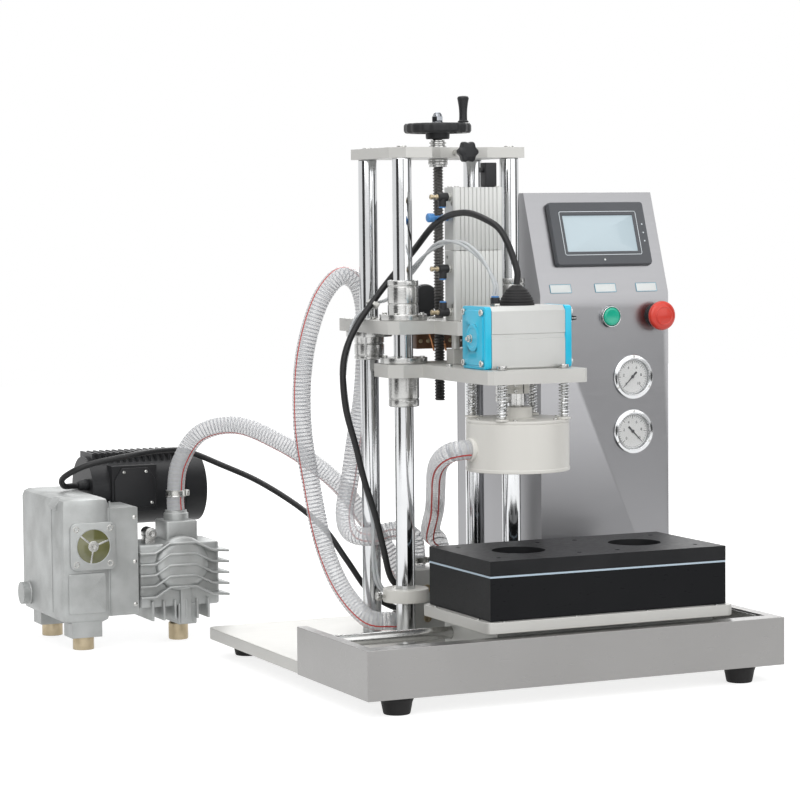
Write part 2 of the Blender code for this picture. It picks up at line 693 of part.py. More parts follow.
def make_top_plate():
    half = COLUMN_SPACING_X / 2 + TOP_PLATE_MARGIN_X
    left = HEAD_X - half
    right = HEAD_X + half
    front = COLUMN_FRONT_Y - TOP_PLATE_FRONT_MARGIN
    back = COLUMN_REAR_Y + TOP_PLATE_BACK_MARGIN
    edge = [
        (left, front + TOP_PLATE_CHAMFER),
        (left + TOP_PLATE_CHAMFER, front),
        (HEAD_X - TOP_NOTCH_HALF_FRONT, front),
        (HEAD_X - TOP_NOTCH_HALF_BACK, front + TOP_NOTCH_DEPTH),
        (HEAD_X + TOP_NOTCH_HALF_BACK, front + TOP_NOTCH_DEPTH),
        (HEAD_X + TOP_NOTCH_HALF_FRONT, front),
        (right, front),
        (right, back),
        (left, back),
    ]
    hole = circle(HEAD_X, SCREW_Y, SCREW_SLEEVE_RADIUS + RUN, SMALL_ROUND)
    outline("top_plate", [edge, hole], TOP_PLATE_BOTTOM, TOP_PLATE_THICK, "white_plate")
    bore = SCREW_RADIUS + RUN
    below = TOP_PLATE_BOTTOM - GAP
    above = TOP_PLATE_TOP + GAP
    turned(
        "screw_bearing",
        [
            (bore, above + WASHER_STACK_HEIGHT - GAP * 2),
            (WASHER_STACK_RADIUS, above + WASHER_STACK_HEIGHT - GAP * 2),
            (WASHER_STACK_RADIUS, above),
            (SCREW_SLEEVE_RADIUS, above),
            (SCREW_SLEEVE_RADIUS, below),
            (SCREW_BEARING_RADIUS, below),
            (SCREW_BEARING_RADIUS, below - SCREW_BEARING_DROP),
            (bore, below - SCREW_BEARING_DROP),
        ],
        (HEAD_X, SCREW_Y, 0),
        "chrome",
        SMALL_ROUND,
    )


# ---------------------------------------------------------------- lead screw and handwheel
def make_screw():
    top = WHEEL_TOP + GAP
    shoulder = top + DOME_NUT_SHOULDER * DOME_NUT_HEIGHT
    turned(
        "lead_screw",
        [
            (0, top + DOME_NUT_HEIGHT),
            (DOME_NUT_RADIUS * DOME_NUT_SHOULDER, top + DOME_NUT_HEIGHT * DOME_NUT_CROWN),
            (DOME_NUT_RADIUS, shoulder),
            (DOME_NUT_RADIUS, top),
            (SCREW_RADIUS, top),
            (SCREW_RADIUS, SCREW_BOTTOM),
            (0, SCREW_BOTTOM),
        ],
        (HEAD_X, SCREW_Y, 0),
        "screw_steel",
        SMALL_ROUND,
    )
    rim_bottom = WHEEL_TOP - HANDWHEEL_RIM_HEIGHT
    inner = HANDWHEEL_RADIUS - HANDWHEEL_RIM_WIDTH
    wheel = turned(
        "handwheel",
        [
            (SCREW_RADIUS + RUN, WHEEL_TOP),
            (HANDWHEEL_HUB_RADIUS, WHEEL_TOP),
            (HANDWHEEL_HUB_RADIUS, WHEEL_BOTTOM + GAP),
            (SCREW_RADIUS + RUN, WHEEL_BOTTOM + GAP),
        ],
        (HEAD_X, SCREW_Y, 0),
        "black_nylon",
        SMALL_ROUND,
    )
    rim = turned(
        "handwheel_rim",
        [
            (inner, WHEEL_TOP - HANDWHEEL_RIM_DROP),
            (HANDWHEEL_RADIUS, WHEEL_TOP - HANDWHEEL_RIM_DROP),
            (HANDWHEEL_RADIUS, rim_bottom),
            (inner, rim_bottom),
        ],
        (HEAD_X, SCREW_Y, 0),
        None,
        ROUND,
    )
    spokes = []
    for index in range(3):
        turn = GRIP_ANGLE + index * 2 * math.pi / 3
        spoke = box(
            f"handwheel_spoke_{index}",
            (-SPOKE_HALF_WIDTH, HANDWHEEL_HUB_RADIUS - SPOKE_LAP, rim_bottom + SPOKE_INSET),
            (SPOKE_HALF_WIDTH, inner + SPOKE_LAP, WHEEL_TOP - SPOKE_INSET),
            None,
        )
        reach = (HANDWHEEL_HUB_RADIUS + inner) / 2
        spoke.location = (
            HEAD_X + reach * math.cos(turn),
            SCREW_Y + reach * math.sin(turn),
            (rim_bottom + WHEEL_TOP) / 2,
        )
        spoke.rotation_euler = (0, 0, turn - math.pi / 2)
        spokes.append(spoke)
    grip_x = HEAD_X + GRIP_REACH * math.cos(GRIP_ANGLE)
    grip_y = SCREW_Y + GRIP_REACH * math.sin(GRIP_ANGLE)
    boss = rod(
        "handwheel_boss", (grip_x, grip_y, rim_bottom + HANDWHEEL_BOSS_WALL),
        (grip_x, grip_y, WHEEL_TOP), GRIP_RADIUS_TOP + HANDWHEEL_BOSS_WALL, None,
    )
    combine(wheel, [*spokes, rim, boss], "UNION")
    base = WHEEL_TOP + GAP
    turned(
        "handwheel_grip",
        [
            (0, base + GRIP_LENGTH),
            (GRIP_RADIUS_TOP * GRIP_CROWN, base + GRIP_LENGTH),
            (GRIP_RADIUS_TOP, base + GRIP_LENGTH * GRIP_SHOULDER),
            (GRIP_RADIUS_BASE, base + GRIP_LENGTH * GRIP_FOOT),
            (GRIP_RADIUS_BASE, base),
            (0, base),
        ],
        (grip_x, grip_y, 0),
        "black_nylon",
        SMALL_ROUND,
    )


def make_star_knob():
    z = TOP_PLATE_BOTTOM + TOP_PLATE_THICK / 2
    face = COLUMN_FRONT_Y - TOP_PLATE_FRONT_MARGIN + TOP_NOTCH_DEPTH
    ring = []
    for step in range(STAR_KNOB_POINTS):
        turn = 2 * math.pi * step / STAR_KNOB_POINTS
        lobe = STAR_KNOB_LOBE * (1 - math.cos(STAR_KNOB_LOBES * turn))
        reach = STAR_KNOB_RADIUS * (1 - lobe)
        ring.append((reach * math.cos(turn), reach * math.sin(turn)))
    knob = outline(
        "star_knob", [ring], STAR_KNOB_STEM, STAR_KNOB_THICK, "black_nylon",
        (math.pi / 2, 0, 0), (HEAD_X, face - GAP, z),
    )
    stem = rod(
        "star_knob_stem", (HEAD_X, face - GAP, z), (HEAD_X, face - STAR_KNOB_STEM - STAR_KNOB_STEM_LAP, z),
        STAR_KNOB_STEM_RADIUS, None,
    )
    combine(knob, [stem], "UNION")


# ---------------------------------------------------------------- lift: plate, bearings, cylinder
def tongue_outline(half_wing, half_tongue, wing_front, wing_back, tongue_front, chamfer, slant):
    """A plate that rides on the columns, with a tongue reaching forward, symmetric about HEAD_X."""
    side = [
        (half_tongue - chamfer, tongue_front),
        (half_tongue, tongue_front + chamfer),
        (half_tongue, wing_front),
        (half_wing - slant, wing_front),
        (half_wing, wing_front + slant),
        (half_wing, wing_back - slant),
        (half_wing - slant, wing_back),
    ]
    right = [(HEAD_X + x, y) for x, y in side]
    left = [(HEAD_X - x, y) for x, y in reversed(side)]
    return right + left


def flanged_bearing(name, x, y, flange_low, up, length, finish="chrome"):
    """A flanged linear bearing: up is 1 where the body rises above its flange, -1 where it hangs."""
    bore = COLUMN_RADIUS + RUN
    flange_far = flange_low + BEARING_FLANGE_THICK
    if up > 0:
        profile = [
            (bore, flange_low + length),
            (BEARING_RADIUS, flange_low + length),
            (BEARING_RADIUS, flange_far),
            (BEARING_FLANGE_RADIUS, flange_far),
            (BEARING_FLANGE_RADIUS, flange_low),
            (bore, flange_low),
        ]
    else:
        profile = [
            (bore, flange_far),
            (BEARING_FLANGE_RADIUS, flange_far),
            (BEARING_FLANGE_RADIUS, flange_low),
            (BEARING_RADIUS, flange_low),
            (BEARING_RADIUS, flange_far - length),
            (bore, flange_far - length),
        ]
    return turned(name, profile, (x, y, 0), finish, 32)


def make_lift():
    edge = tongue_outline(
        PLATE_HALF_WIDTH,
        LIFT_TONGUE_HALF,
        COLUMN_FRONT_Y - LIFT_WING_FRONT_MARGIN,
        COLUMN_REAR_Y + PLATE_WING_MARGIN,
        LIFT_TONGUE_FRONT_Y,
        LIFT_CHAMFER,
        LIFT_CHAMFER,
    )
    holes = [
        circle(x, y, COLUMN_RADIUS + PLATE_HOLE_ROOM, SMALL_ROUND)
        for x in COLUMN_X.values()
        for y in (COLUMN_FRONT_Y, COLUMN_REAR_Y)
    ]
    holes.append(circle(HEAD_X, SCREW_Y, SCREW_RADIUS + RUN, SMALL_ROUND))
    for side in (-1, 1):
        x = HEAD_X + side * CYLINDER_ROD_SPACING / 2
        holes.append(circle(x, CYLINDER_Y, CYLINDER_ROD_RADIUS + PLATE_HOLE_ROOM, SMALL_ROUND))
    outline("lift_plate", [edge, *holes], LIFT_PLATE_BOTTOM, LIFT_PLATE_THICK, "white_plate")
    for side, x in COLUMN_X.items():
        above = LIFT_PLATE_TOP + GAP
        flanged_bearing(
            f"lift_bearing_front_{side}", x, COLUMN_FRONT_Y, above, 1, LIFT_BEARING_LENGTH
        )
        below = LIFT_PLATE_BOTTOM - GAP - BEARING_FLANGE_THICK
        flanged_bearing(
            f"lift_bearing_rear_{side}", x, COLUMN_REAR_Y, below, -1, REAR_BEARING_LENGTH
        )


def make_cylinder():
    low = LIFT_PLATE_TOP + GAP
    half = CYLINDER_WIDTH / 2
    body = box(
        "air_cylinder",
        (HEAD_X - half, CYLINDER_Y - CYLINDER_DEPTH / 2, low),
        (HEAD_X + half, CYLINDER_Y + CYLINDER_DEPTH / 2, low + CYLINDER_HEIGHT),
        "anodised",
        CYLINDER_EDGE,
    )
    yoke_low = HEAD_PLATE_TOP + GAP
    yoke_high = yoke_low + ROD_YOKE_HEIGHT
    yoke = box(
        "cylinder_rods",
        (HEAD_X - ROD_YOKE_WIDTH / 2, CYLINDER_Y - ROD_YOKE_DEPTH / 2, yoke_low),
        (HEAD_X + ROD_YOKE_WIDTH / 2, CYLINDER_Y + ROD_YOKE_DEPTH / 2, yoke_high),
        "anodised",
    )
    bores = []
    rods = []
    for side in (-1, 1):
        x = HEAD_X + side * CYLINDER_ROD_SPACING / 2
        bores.append(
            rod(
                f"cylinder_bore_{side}", (x, CYLINDER_Y, low - LAP),
                (x, CYLINDER_Y, low + CYLINDER_HEIGHT - CYLINDER_HEAD_WALL),
                CYLINDER_ROD_RADIUS + RUN, None,
            )
        )
        rods.append(
            rod(
                f"cylinder_rod_{side}", (x, CYLINDER_Y, yoke_high - JOIN),
                (x, CYLINDER_Y, yoke_high + CYLINDER_ROD_LENGTH), CYLINDER_ROD_RADIUS, None,
            )
        )
    combine(body, bores, "DIFFERENCE")
    combine(yoke, rods, "UNION")


# ---------------------------------------------------------------- head: plate, actuator, bell
def post_places():
    """Centres of the four spring posts."""
    return [
        (HEAD_X + across * POST_OFFSET, HEAD_Y + along * POST_OFFSET)
        for along in (-1, 1)
        for across in (-1, 1)
    ]


def make_head():
    edge = tongue_outline(
        PLATE_HALF_WIDTH,
        HEAD_TONGUE_HALF,
        HEAD_WING_FRONT_Y,
        COLUMN_FRONT_Y + HEAD_WING_BACK_MARGIN,
        HEAD_TONGUE_FRONT_Y,
        HEAD_CHAMFER,
        HEAD_WING_SLANT,
    )
    holes = [
        circle(x, COLUMN_FRONT_Y, BEARING_RADIUS + RUN, ROUND // 2 + 4)
        for x in COLUMN_X.values()
    ]
    holes.append(circle(HEAD_X, HEAD_Y, SPINDLE_TOP_RADIUS + SPINDLE_ROOM, SMALL_ROUND))
    holes += [circle(x, y, POST_RADIUS + RUN, 12) for x, y in post_places()]
    outline("head_plate", [edge, *holes], HEAD_PLATE_BOTTOM, HEAD_PLATE_THICK, "white_plate")
    for side, x in COLUMN_X.items():
        flanged_bearing(
            f"head_bearing_{side}", x, COLUMN_FRONT_Y, HEAD_PLATE_TOP + GAP, -1,
            HEAD_BEARING_LENGTH,
        )


def make_actuator():
    low = HEAD_PLATE_TOP + GAP
    high = low + ACTUATOR_HEIGHT
    half = ACTUATOR_LENGTH / 2
    front = HEAD_Y - ACTUATOR_DEPTH / 2
    back = HEAD_Y + ACTUATOR_DEPTH / 2
    inner = half - ACTUATOR_CAP
    body = box(
        "actuator_body",
        (HEAD_X - inner, front, low),
        (HEAD_X + inner, back, high),
        "anodised",
        ACTUATOR_EDGE,
    )
    dome = turned(
        "actuator_dome",
        [
            (0, high + DOME_HEIGHT),
            (DOME_RADIUS * DOME_CROWN[0], high + DOME_HEIGHT * DOME_CROWN[1]),
            (DOME_RADIUS * DOME_SHOULDER[0], high + DOME_HEIGHT * DOME_SHOULDER[1]),
            (DOME_RADIUS, high + DOME_HEIGHT * DOME_RIM),
            (DOME_RADIUS, high - JOIN),
            (0, high - JOIN),
        ],
        (HEAD_X, HEAD_Y, 0),
        None,
        24,
    )
    combine(body, [dome], "UNION")
    for side, sign in (("left", -1), ("right", 1)):
        near = HEAD_X + sign * (inner + GAP)
        far = HEAD_X + sign * half
        box(
            f"actuator_cap_{side}",
            (min(near, far), front, low),
            (max(near, far), back, high),
            "cyan_cap",
            ACTUATOR_CAP_EDGE,
        )


def make_bell():
    inside = BELL_RADIUS - BELL_WALL
    bore = SPINDLE_RADIUS + RUN
    bell = turned(
        "vacuum_bell",
        [
            (bore, BELL_TOP + BELL_HUB_HEIGHT),
            (BELL_HUB_RADIUS, BELL_TOP + BELL_HUB_HEIGHT),
            (BELL_HUB_RADIUS, BELL_TOP),
            (BELL_RADIUS, BELL_TOP),
            (BELL_RADIUS, BELL_BOTTOM),
            (inside, BELL_BOTTOM),
            (inside, BELL_TOP - BELL_LID),
            (bore, BELL_TOP - BELL_LID),
        ],
        (HEAD_X, HEAD_Y, 0),
        "white_nylon",
        ROUND,
    )
    head_low = HEAD_PLATE_TOP + GAP
    posts = []
    for index, (x, y) in enumerate(post_places()):
        shank = rod(
            f"post_{index}", (x, y, BELL_TOP - JOIN), (x, y, head_low + POST_HEAD_HEIGHT / 2),
            POST_RADIUS, None, 12,
        )
        cap = rod(
            f"post_head_{index}", (x, y, head_low), (x, y, head_low + POST_HEAD_HEIGHT),
            POST_HEAD_RADIUS, None, 16,
        )
        posts += [shank, cap]
    port_z = BELL_BOTTOM + BELL_PORT_HEIGHT
    port = rod(
        "bell_port", (HEAD_X - BELL_RADIUS + JOIN - BELL_WALL / 5, HEAD_Y, port_z),
        (HEAD_X - BELL_RADIUS - BELL_PORT_LENGTH, HEAD_Y, port_z), BELL_PORT_RADIUS, None,
    )
    combine(bell, [*posts, port], "UNION")


def make_spindle():
    neck = BELL_TOP + BELL_HUB_HEIGHT + BELL_FLOAT + FLOAT_ROOM
    top = HEAD_PLATE_TOP
    chuck_top = CHUCK_BOTTOM + CHUCK_HEIGHT
    ceiling = CHUCK_BOTTOM + CHUCK_CUP_DEPTH
    turned(
        "spindle_and_chuck",
        [
            (0, top),
            (SPINDLE_TOP_RADIUS, top),
            (SPINDLE_TOP_RADIUS, neck),
            (SPINDLE_RADIUS, neck),
            (SPINDLE_RADIUS, chuck_top),
            (CHUCK_RADIUS * CHUCK_TOP_FLAT, chuck_top),
            (CHUCK_RADIUS, chuck_top - CHUCK_SHOULDER),
            (CHUCK_RADIUS, CHUCK_BOTTOM),
            (CHUCK_RADIUS - CHUCK_WALL * CHUCK_LIP, CHUCK_BOTTOM),
            (CHUCK_RADIUS - CHUCK_WALL, ceiling),
            (0, ceiling),
        ],
        (HEAD_X, HEAD_Y, 0),
        "chrome",
        28,
    )


# ---------------------------------------------------------------- table, carriage, fixture
def make_rails():
    half = BASE_WIDTH / 2 - TRAY_SHEET - GAP
    low = BASE_TOP + GAP
    high = low + RAIL_SUPPORT_HEIGHT - 2 * GAP
    supports = []
    for side in (-1, 1):
        outer = side * half
        inner = side * (half - RAIL_SUPPORT_THICK)
        supports.append((min(outer, inner), max(outer, inner)))
    rails = box(
        "table_rails",
        (supports[0][0], RAIL_FRONT_Y - RAIL_SUPPORT_MARGIN, low),
        (supports[0][1], RAIL_REAR_Y + RAIL_SUPPORT_MARGIN, min(high, TRAY_TOP - TRAY_SHEET - GAP)),
        "chrome",
    )
    other = box(
        "rail_support_right",
        (supports[1][0], RAIL_FRONT_Y - RAIL_SUPPORT_MARGIN, low),
        (supports[1][1], RAIL_REAR_Y + RAIL_SUPPORT_MARGIN, min(high, TRAY_TOP - TRAY_SHEET - GAP)),
        None,
    )
    bars = [
        rod(
            f"rail_{index}", (supports[0][1] - RAIL_SEAT, y, RAIL_Z), (supports[1][0] + RAIL_SEAT, y, RAIL_Z),
            RAIL_RADIUS, None,
        )
        for index, y in enumerate((RAIL_FRONT_Y, RAIL_REAR_Y))
    ]
    combine(rails, [*bars, other], "UNION")


def make_table():
    low_y = RAIL_FRONT_Y - CARRIAGE_MARGIN
    high_y = RAIL_REAR_Y + CARRIAGE_MARGIN
    top = TABLE_BOTTOM - GAP
    carriage = box(
        "table_carriage",
        (CARRIAGE_LEFT_X, low_y, CARRIAGE_BOTTOM),
        (CARRIAGE_RIGHT_X, high_y, top),
        "anodised",
    )
    gap = box(
        "carriage_gap",
        (CARRIAGE_LEFT_X + CARRIAGE_LEG, low_y - LAP, CARRIAGE_BOTTOM - LAP),
        (CARRIAGE_RIGHT_X - CARRIAGE_LEG, high_y + LAP, top - CARRIAGE_WEB),
        None,
    )
    bores = [
        rod(
            f"carriage_bore_{index}", (CARRIAGE_LEFT_X - LAP, y, RAIL_Z),
            (CARRIAGE_RIGHT_X + LAP, y, RAIL_Z), RAIL_RADIUS + RUN, None,
        )
        for index, y in enumerate((RAIL_FRONT_Y, RAIL_REAR_Y))
    ]
    combine(carriage, [gap, *bores], "DIFFERENCE")
    reach_x = FIXTURE_LENGTH / 2 + TABLE_MARGIN
    reach_y = FIXTURE_DEPTH / 2 + TABLE_MARGIN
    edge = rounded_rectangle(
        (FIXTURE_X - reach_x, HEAD_Y - reach_y), (FIXTURE_X + reach_x, HEAD_Y + reach_y),
        TABLE_CORNER,
    )
    outline("table_plate", [edge], TABLE_BOTTOM, TABLE_THICK, "white_plate")


def make_fixture():
    low = (FIXTURE_X - FIXTURE_LENGTH / 2, HEAD_Y - FIXTURE_DEPTH / 2)
    high = (FIXTURE_X + FIXTURE_LENGTH / 2, HEAD_Y + FIXTURE_DEPTH / 2)
    edge = [low, (high[0], low[1]), high, (low[0], high[1])]
    jars = [FIXTURE_X - JAR_SPACING / 2, FIXTURE_X + JAR_SPACING / 2]
    jar_holes = [circle(x, HEAD_Y, JAR_RADIUS, ROUND) for x in jars]
    dowels = [
        circle(x + across * DOWEL_OFFSET_X, HEAD_Y + along * DOWEL_OFFSET_Y, DOWEL_RADIUS, 12)
        for x in jars
        for across in (-1, 1)
        for along in (-1, 1)
    ]
    lower = box(
        "fixture_lower",
        (*low, FIXTURE_BOTTOM),
        (*high, FIXTURE_BOTTOM + FIXTURE_LOWER_HEIGHT),
        "black_plastic",
    )
    pockets = [
        rod(
            f"jar_pocket_{index}", (x, HEAD_Y, FIXTURE_BOTTOM + JAR_FLOOR),
            (x, HEAD_Y, SEAL_BOTTOM + LAP), JAR_RADIUS, None, ROUND,
        )
        for index, x in enumerate(jars)
    ]
    combine(lower, pockets, "DIFFERENCE")
    outline("fixture_seal", [edge, *jar_holes], SEAL_BOTTOM, FIXTURE_SEAL_HEIGHT, "seal")
    outline(
        "fixture_top", [edge, *jar_holes, *dowels], FIXTURE_TOP_BOTTOM, FIXTURE_TOP_HEIGHT,
        "black_plastic",
    )


# ---------------------------------------------------------------- cabinet and its controls
def cabinet_profile(inset, back):
    """The cabinet's side outline as (Y, Z), taken in by inset and reaching to back."""
    slope = Vector((CABINET_SLOPE_RUN, CABINET_TOP_Z - CABINET_FOLD_Z)).normalized()
    front = CABINET_FRONT_Y + inset
    fold = CABINET_FOLD_Z - inset * math.tan(math.atan2(slope.x, slope.y) / 2)
    top = CABINET_TOP_Z - inset
    rise = top - fold
    return [
        (front, BASE_TOP + GAP if inset == 0 else BASE_TOP - LAP),
        (front, fold),
        (front + rise * slope.x / slope.y, top),
        (back, top),
        (back, BASE_TOP + GAP if inset == 0 else BASE_TOP - LAP),
    ]


def make_cabinet():
    back = CABINET_BACK_Y - REAR_PANEL_THICK - GAP
    upright = (math.pi / 2, 0, math.pi / 2)
    shell = outline(
        "cabinet_shell", [cabinet_profile(0, back)], 0, CABINET_WIDTH, "stainless", upright,
        (CABINET_LEFT_X, 0, 0),
    )
    inside = outline(
        "cabinet_inside", [cabinet_profile(CABINET_SHEET, back + LAP)], CABINET_SHEET,
        CABINET_WIDTH - 2 * CABINET_SHEET, None, upright, (CABINET_LEFT_X, 0, 0),
    )
    holes = []
    for x, z, radius in (
        (START_X, BUTTON_Z, BUTTON_HOLE_RADIUS),
        (ESTOP_X, BUTTON_Z, BUTTON_HOLE_RADIUS),
        (SELECTOR_X, BUTTON_Z, BUTTON_HOLE_RADIUS),
        (GAUGE_X, GAUGE_UPPER_Z, GAUGE_BODY_RADIUS + RUN),
        (GAUGE_X, GAUGE_LOWER_Z, GAUGE_BODY_RADIUS + RUN),
    ):
        holes.append(
            rod(
                f"cabinet_hole_{len(holes)}", (x, CABINET_FRONT_Y - LAP, z),
                (x, CABINET_FRONT_Y + LAP, z), radius, None, 24,
            )
        )
    combine(shell, [inside, *holes], "DIFFERENCE")
    box(
        "cabinet_rear_panel",
        (CABINET_LEFT_X, back + GAP, BASE_TOP + GAP),
        (CABINET_RIGHT_X, CABINET_BACK_Y, CABINET_TOP_Z),
        "stainless",
    )


def make_screen():
    tilt = math.atan2(CABINET_SLOPE_RUN, CABINET_TOP_Z - CABINET_FOLD_Z)
    along = Vector((0, math.sin(tilt), math.cos(tilt)))
    out = Vector((0, -math.cos(tilt), math.sin(tilt)))
    middle = Vector(((CABINET_LEFT_X + CABINET_RIGHT_X) / 2 + SCREEN_OFFSET, CABINET_FRONT_Y, CABINET_FOLD_Z))
    middle += along * SCREEN_ALONG_SLOPE + out * (SCREEN_THICK / 2 + GAP)
    half = Vector((SCREEN_WIDTH / 2, SCREEN_THICK / 2, SCREEN_HEIGHT / 2))
    screen = box("touch_screen", -half, half, "black_plastic", SCREEN_EDGE)
    screen.location = middle
    screen.rotation_euler = (-tilt, 0, 0)


def make_controls():
    face = CABINET_FRONT_Y
    tail = face + BUTTON_TAIL
    radius = BUTTON_HOLE_RADIUS - BUTTON_ROOM
    rod("start_button", (START_X, tail, BUTTON_Z), (START_X, face - START_PROUD, BUTTON_Z),
        START_RADIUS, "green", 24)
    stop = rod("emergency_stop", (ESTOP_X, face - ESTOP_CLEAR, BUTTON_Z),
               (ESTOP_X, face - ESTOP_PROUD, BUTTON_Z), ESTOP_RADIUS, "red", 32)
    combine(
        stop,
        [rod("estop_stem", (ESTOP_X, tail, BUTTON_Z), (ESTOP_X, face - ESTOP_CLEAR - JOIN, BUTTON_Z),
             radius, None)],
        "UNION",
    )
    knob = rod("selector_knob", (SELECTOR_X, tail, BUTTON_Z), (SELECTOR_X, face - SELECTOR_FACE, BUTTON_Z),
               SELECTOR_RADIUS, "black_plastic", 24)
    handle = box(
        "selector_handle",
        (SELECTOR_X - SELECTOR_HANDLE_HALF, face - SELECTOR_PROUD,
         BUTTON_Z - SELECTOR_HANDLE_HALF_THICK),
        (SELECTOR_X + SELECTOR_HANDLE_HALF, face - SELECTOR_FACE + SELECTOR_HANDLE_LAP,
         BUTTON_Z + SELECTOR_HANDLE_HALF_THICK),
        None,
    )
    combine(knob, [handle], "UNION")


def make_gauge(level, z, needle_angle):
    """A panel gauge: a cup with its dial face set back, and a needle on the pivot."""
    face = CABINET_FRONT_Y
    flange_front = face - GAP - GAUGE_FLANGE_THICK
    gauge = turned(
        f"gauge_{level}",
        [
            (0, 0),
            (GAUGE_BODY_RADIUS - GAUGE_BEZEL_STEP, 0),
            (GAUGE_BODY_RADIUS, GAUGE_CUP),
            (GAUGE_FLANGE_RADIUS, GAUGE_CUP - GAUGE_BEZEL_STEP),
            (GAUGE_FLANGE_RADIUS, GAUGE_CUP - GAUGE_FLANGE_THICK),
            (GAUGE_BODY_RADIUS, GAUGE_CUP - GAUGE_FLANGE_THICK),
            (GAUGE_BODY_RADIUS, -GAUGE_BODY_DEPTH),
            (0, -GAUGE_BODY_DEPTH),
        ],
        (GAUGE_X, flange_front + GAUGE_CUP, z),
        "chrome",
        36,
    )
    gauge.rotation_euler = (math.pi / 2, 0, 0)
    middle = (NEEDLE_LENGTH - NEEDLE_TAIL) / 2
    reach = (NEEDLE_LENGTH + NEEDLE_TAIL) / 2
    needle = box(
        f"gauge_needle_{level}",
        (middle - reach, -NEEDLE_WIDTH / 2, 0),
        (middle + reach, NEEDLE_WIDTH / 2, NEEDLE_THICK),
        "black_plastic",
    )
    work = bmesh.new()
    work.from_mesh(needle.data)
    bmesh.ops.translate(work, vec=(middle, 0, NEEDLE_THICK / 2), verts=work.verts)
    work.to_mesh(needle.data)
    work.free()
    needle.location = (GAUGE_X, flange_front + GAUGE_CUP - NEEDLE_LIFT, z)
    needle.rotation_euler = (math.pi / 2, -needle_angle, 0)


def make_manifold():
    box(
        "vacuum_manifold",
        (MANIFOLD_LEFT_X, MANIFOLD_FRONT_Y, BASE_TOP + GAP),
        (MANIFOLD_RIGHT_X, MANIFOLD_BACK_Y, MANIFOLD_TOP),
        "anodised",
        MANIFOLD_EDGE,
    )


# ---------------------------------------------------------------- vacuum pump
def make_oil_box():
    body = box(
        "pump_oil_box",
        (OIL_BOX_LEFT_X, OIL_BOX_FRONT_Y, OIL_BOX_BOTTOM),
        (OIL_BOX_RIGHT_X, OIL_BOX_BACK_Y, OIL_BOX_TOP),
        "cast_metal",
        OIL_BOX_EDGE,
        2,
    )
    cover = box(
        "oil_box_end_cover",
        (OIL_BOX_RIGHT_X - END_COVER_LAP, OIL_BOX_FRONT_Y + END_COVER_INSET, END_COVER_BOTTOM),
        (OIL_BOX_RIGHT_X + END_COVER_WIDTH - GAP, OIL_BOX_FRONT_Y + END_COVER_DEPTH, END_COVER_TOP),
        None,
    )
    middle = (OIL_BOX_LEFT_X + OIL_BOX_RIGHT_X) / 2
    added = [cover]
    for index, y in enumerate(
        (OIL_BOX_FRONT_Y + PUMP_FOOT_FRONT_INSET, OIL_BOX_BACK_Y - PUMP_FOOT_REAR_INSET)
    ):
        added.append(
            box(
                f"oil_box_bracket_{index}",
                (middle - PUMP_BRACKET_HALF_X, y - PUMP_BRACKET_HALF_Y, PUMP_FOOT_HEIGHT - PUMP_FOOT_LAP),
                (middle + PUMP_BRACKET_HALF_X, y + PUMP_BRACKET_HALF_Y,
                 OIL_BOX_BOTTOM + PUMP_BRACKET_LAP),
                None,
            )
        )
        added.append(
            rod(f"oil_box_foot_{index}", (middle, y, 0), (middle, y, PUMP_FOOT_HEIGHT + PUMP_FOOT_LAP),
                PUMP_FOOT_RADIUS, None)
        )
    side = OIL_BOX_LEFT_X
    added.append(
        rod("drain_plug", (side + PUMP_BRACKET_LAP, DRAIN_Y, DRAIN_Z), (side - DRAIN_PROUD, DRAIN_Y, DRAIN_Z),
            DRAIN_BOSS_RADIUS, None)
    )
    combine(body, added, "UNION")
    half = SIGHT_PLATE_SIZE / 2
    box(
        "pump_sight_glass",
        (SIGHT_X - half, OIL_BOX_FRONT_Y - GAP - SIGHT_PLATE_THICK, SIGHT_Z - half),
        (SIGHT_X + half, OIL_BOX_FRONT_Y - GAP, SIGHT_Z + half),
        "cast_metal",
        SIGHT_PLATE_EDGE,
    )


def make_pump_casting():
    core = box(
        "pump_cylinder",
        (CASTING_LEFT_X, CASTING_FRONT_Y, CASTING_BOTTOM),
        (CASTING_RIGHT_X, CASTING_BACK_Y, CASTING_TOP),
        "cast_metal",
    )
    added = []
    for index in range(FIN_COUNT):
        z = FIN_START_Z + index * FIN_PITCH
        added.append(
            box(
                f"pump_fin_{index}",
                (CASTING_LEFT_X, CASTING_FRONT_Y - FIN_OVERHANG, z),
                (CASTING_RIGHT_X + FIN_SIDE_OVERHANG, CASTING_FRONT_Y + LAP, z + FIN_THICK),
                None,
            )
        )
    half = INLET_BLOCK / 2
    added.append(
        box(
            "pump_inlet_block",
            (INLET_X - half, INLET_Y - half, CASTING_TOP - LAP),
            (INLET_X + half, INLET_Y + half, INLET_BLOCK_TOP),
            None,
        )
    )
    added.append(
        rod("pump_inlet_neck", (INLET_X, INLET_Y, INLET_BLOCK_TOP - LAP),
            (INLET_X, INLET_Y, INLET_NECK_TOP), INLET_NECK_RADIUS, None, 28)
    )
    leg_x = INLET_X - PUMP_LEG_OFFSET_X
    leg_y = CASTING_FRONT_Y + PUMP_LEG_INSET_Y
    added.append(
        box("pump_leg",
            (leg_x - PUMP_LEG_HALF_X, leg_y - PUMP_LEG_HALF_Y, PUMP_FOOT_HEIGHT - PUMP_FOOT_LAP),
            (leg_x + PUMP_LEG_HALF_X, leg_y + PUMP_LEG_HALF_Y, CASTING_BOTTOM + PUMP_LEG_LAP), None)
    )
    added.append(
        rod("pump_leg_foot", (leg_x, leg_y, 0), (leg_x, leg_y, PUMP_FOOT_HEIGHT + PUMP_FOOT_LAP),
            PUMP_FOOT_RADIUS, None)
    )
    combine(core, added, "UNION")


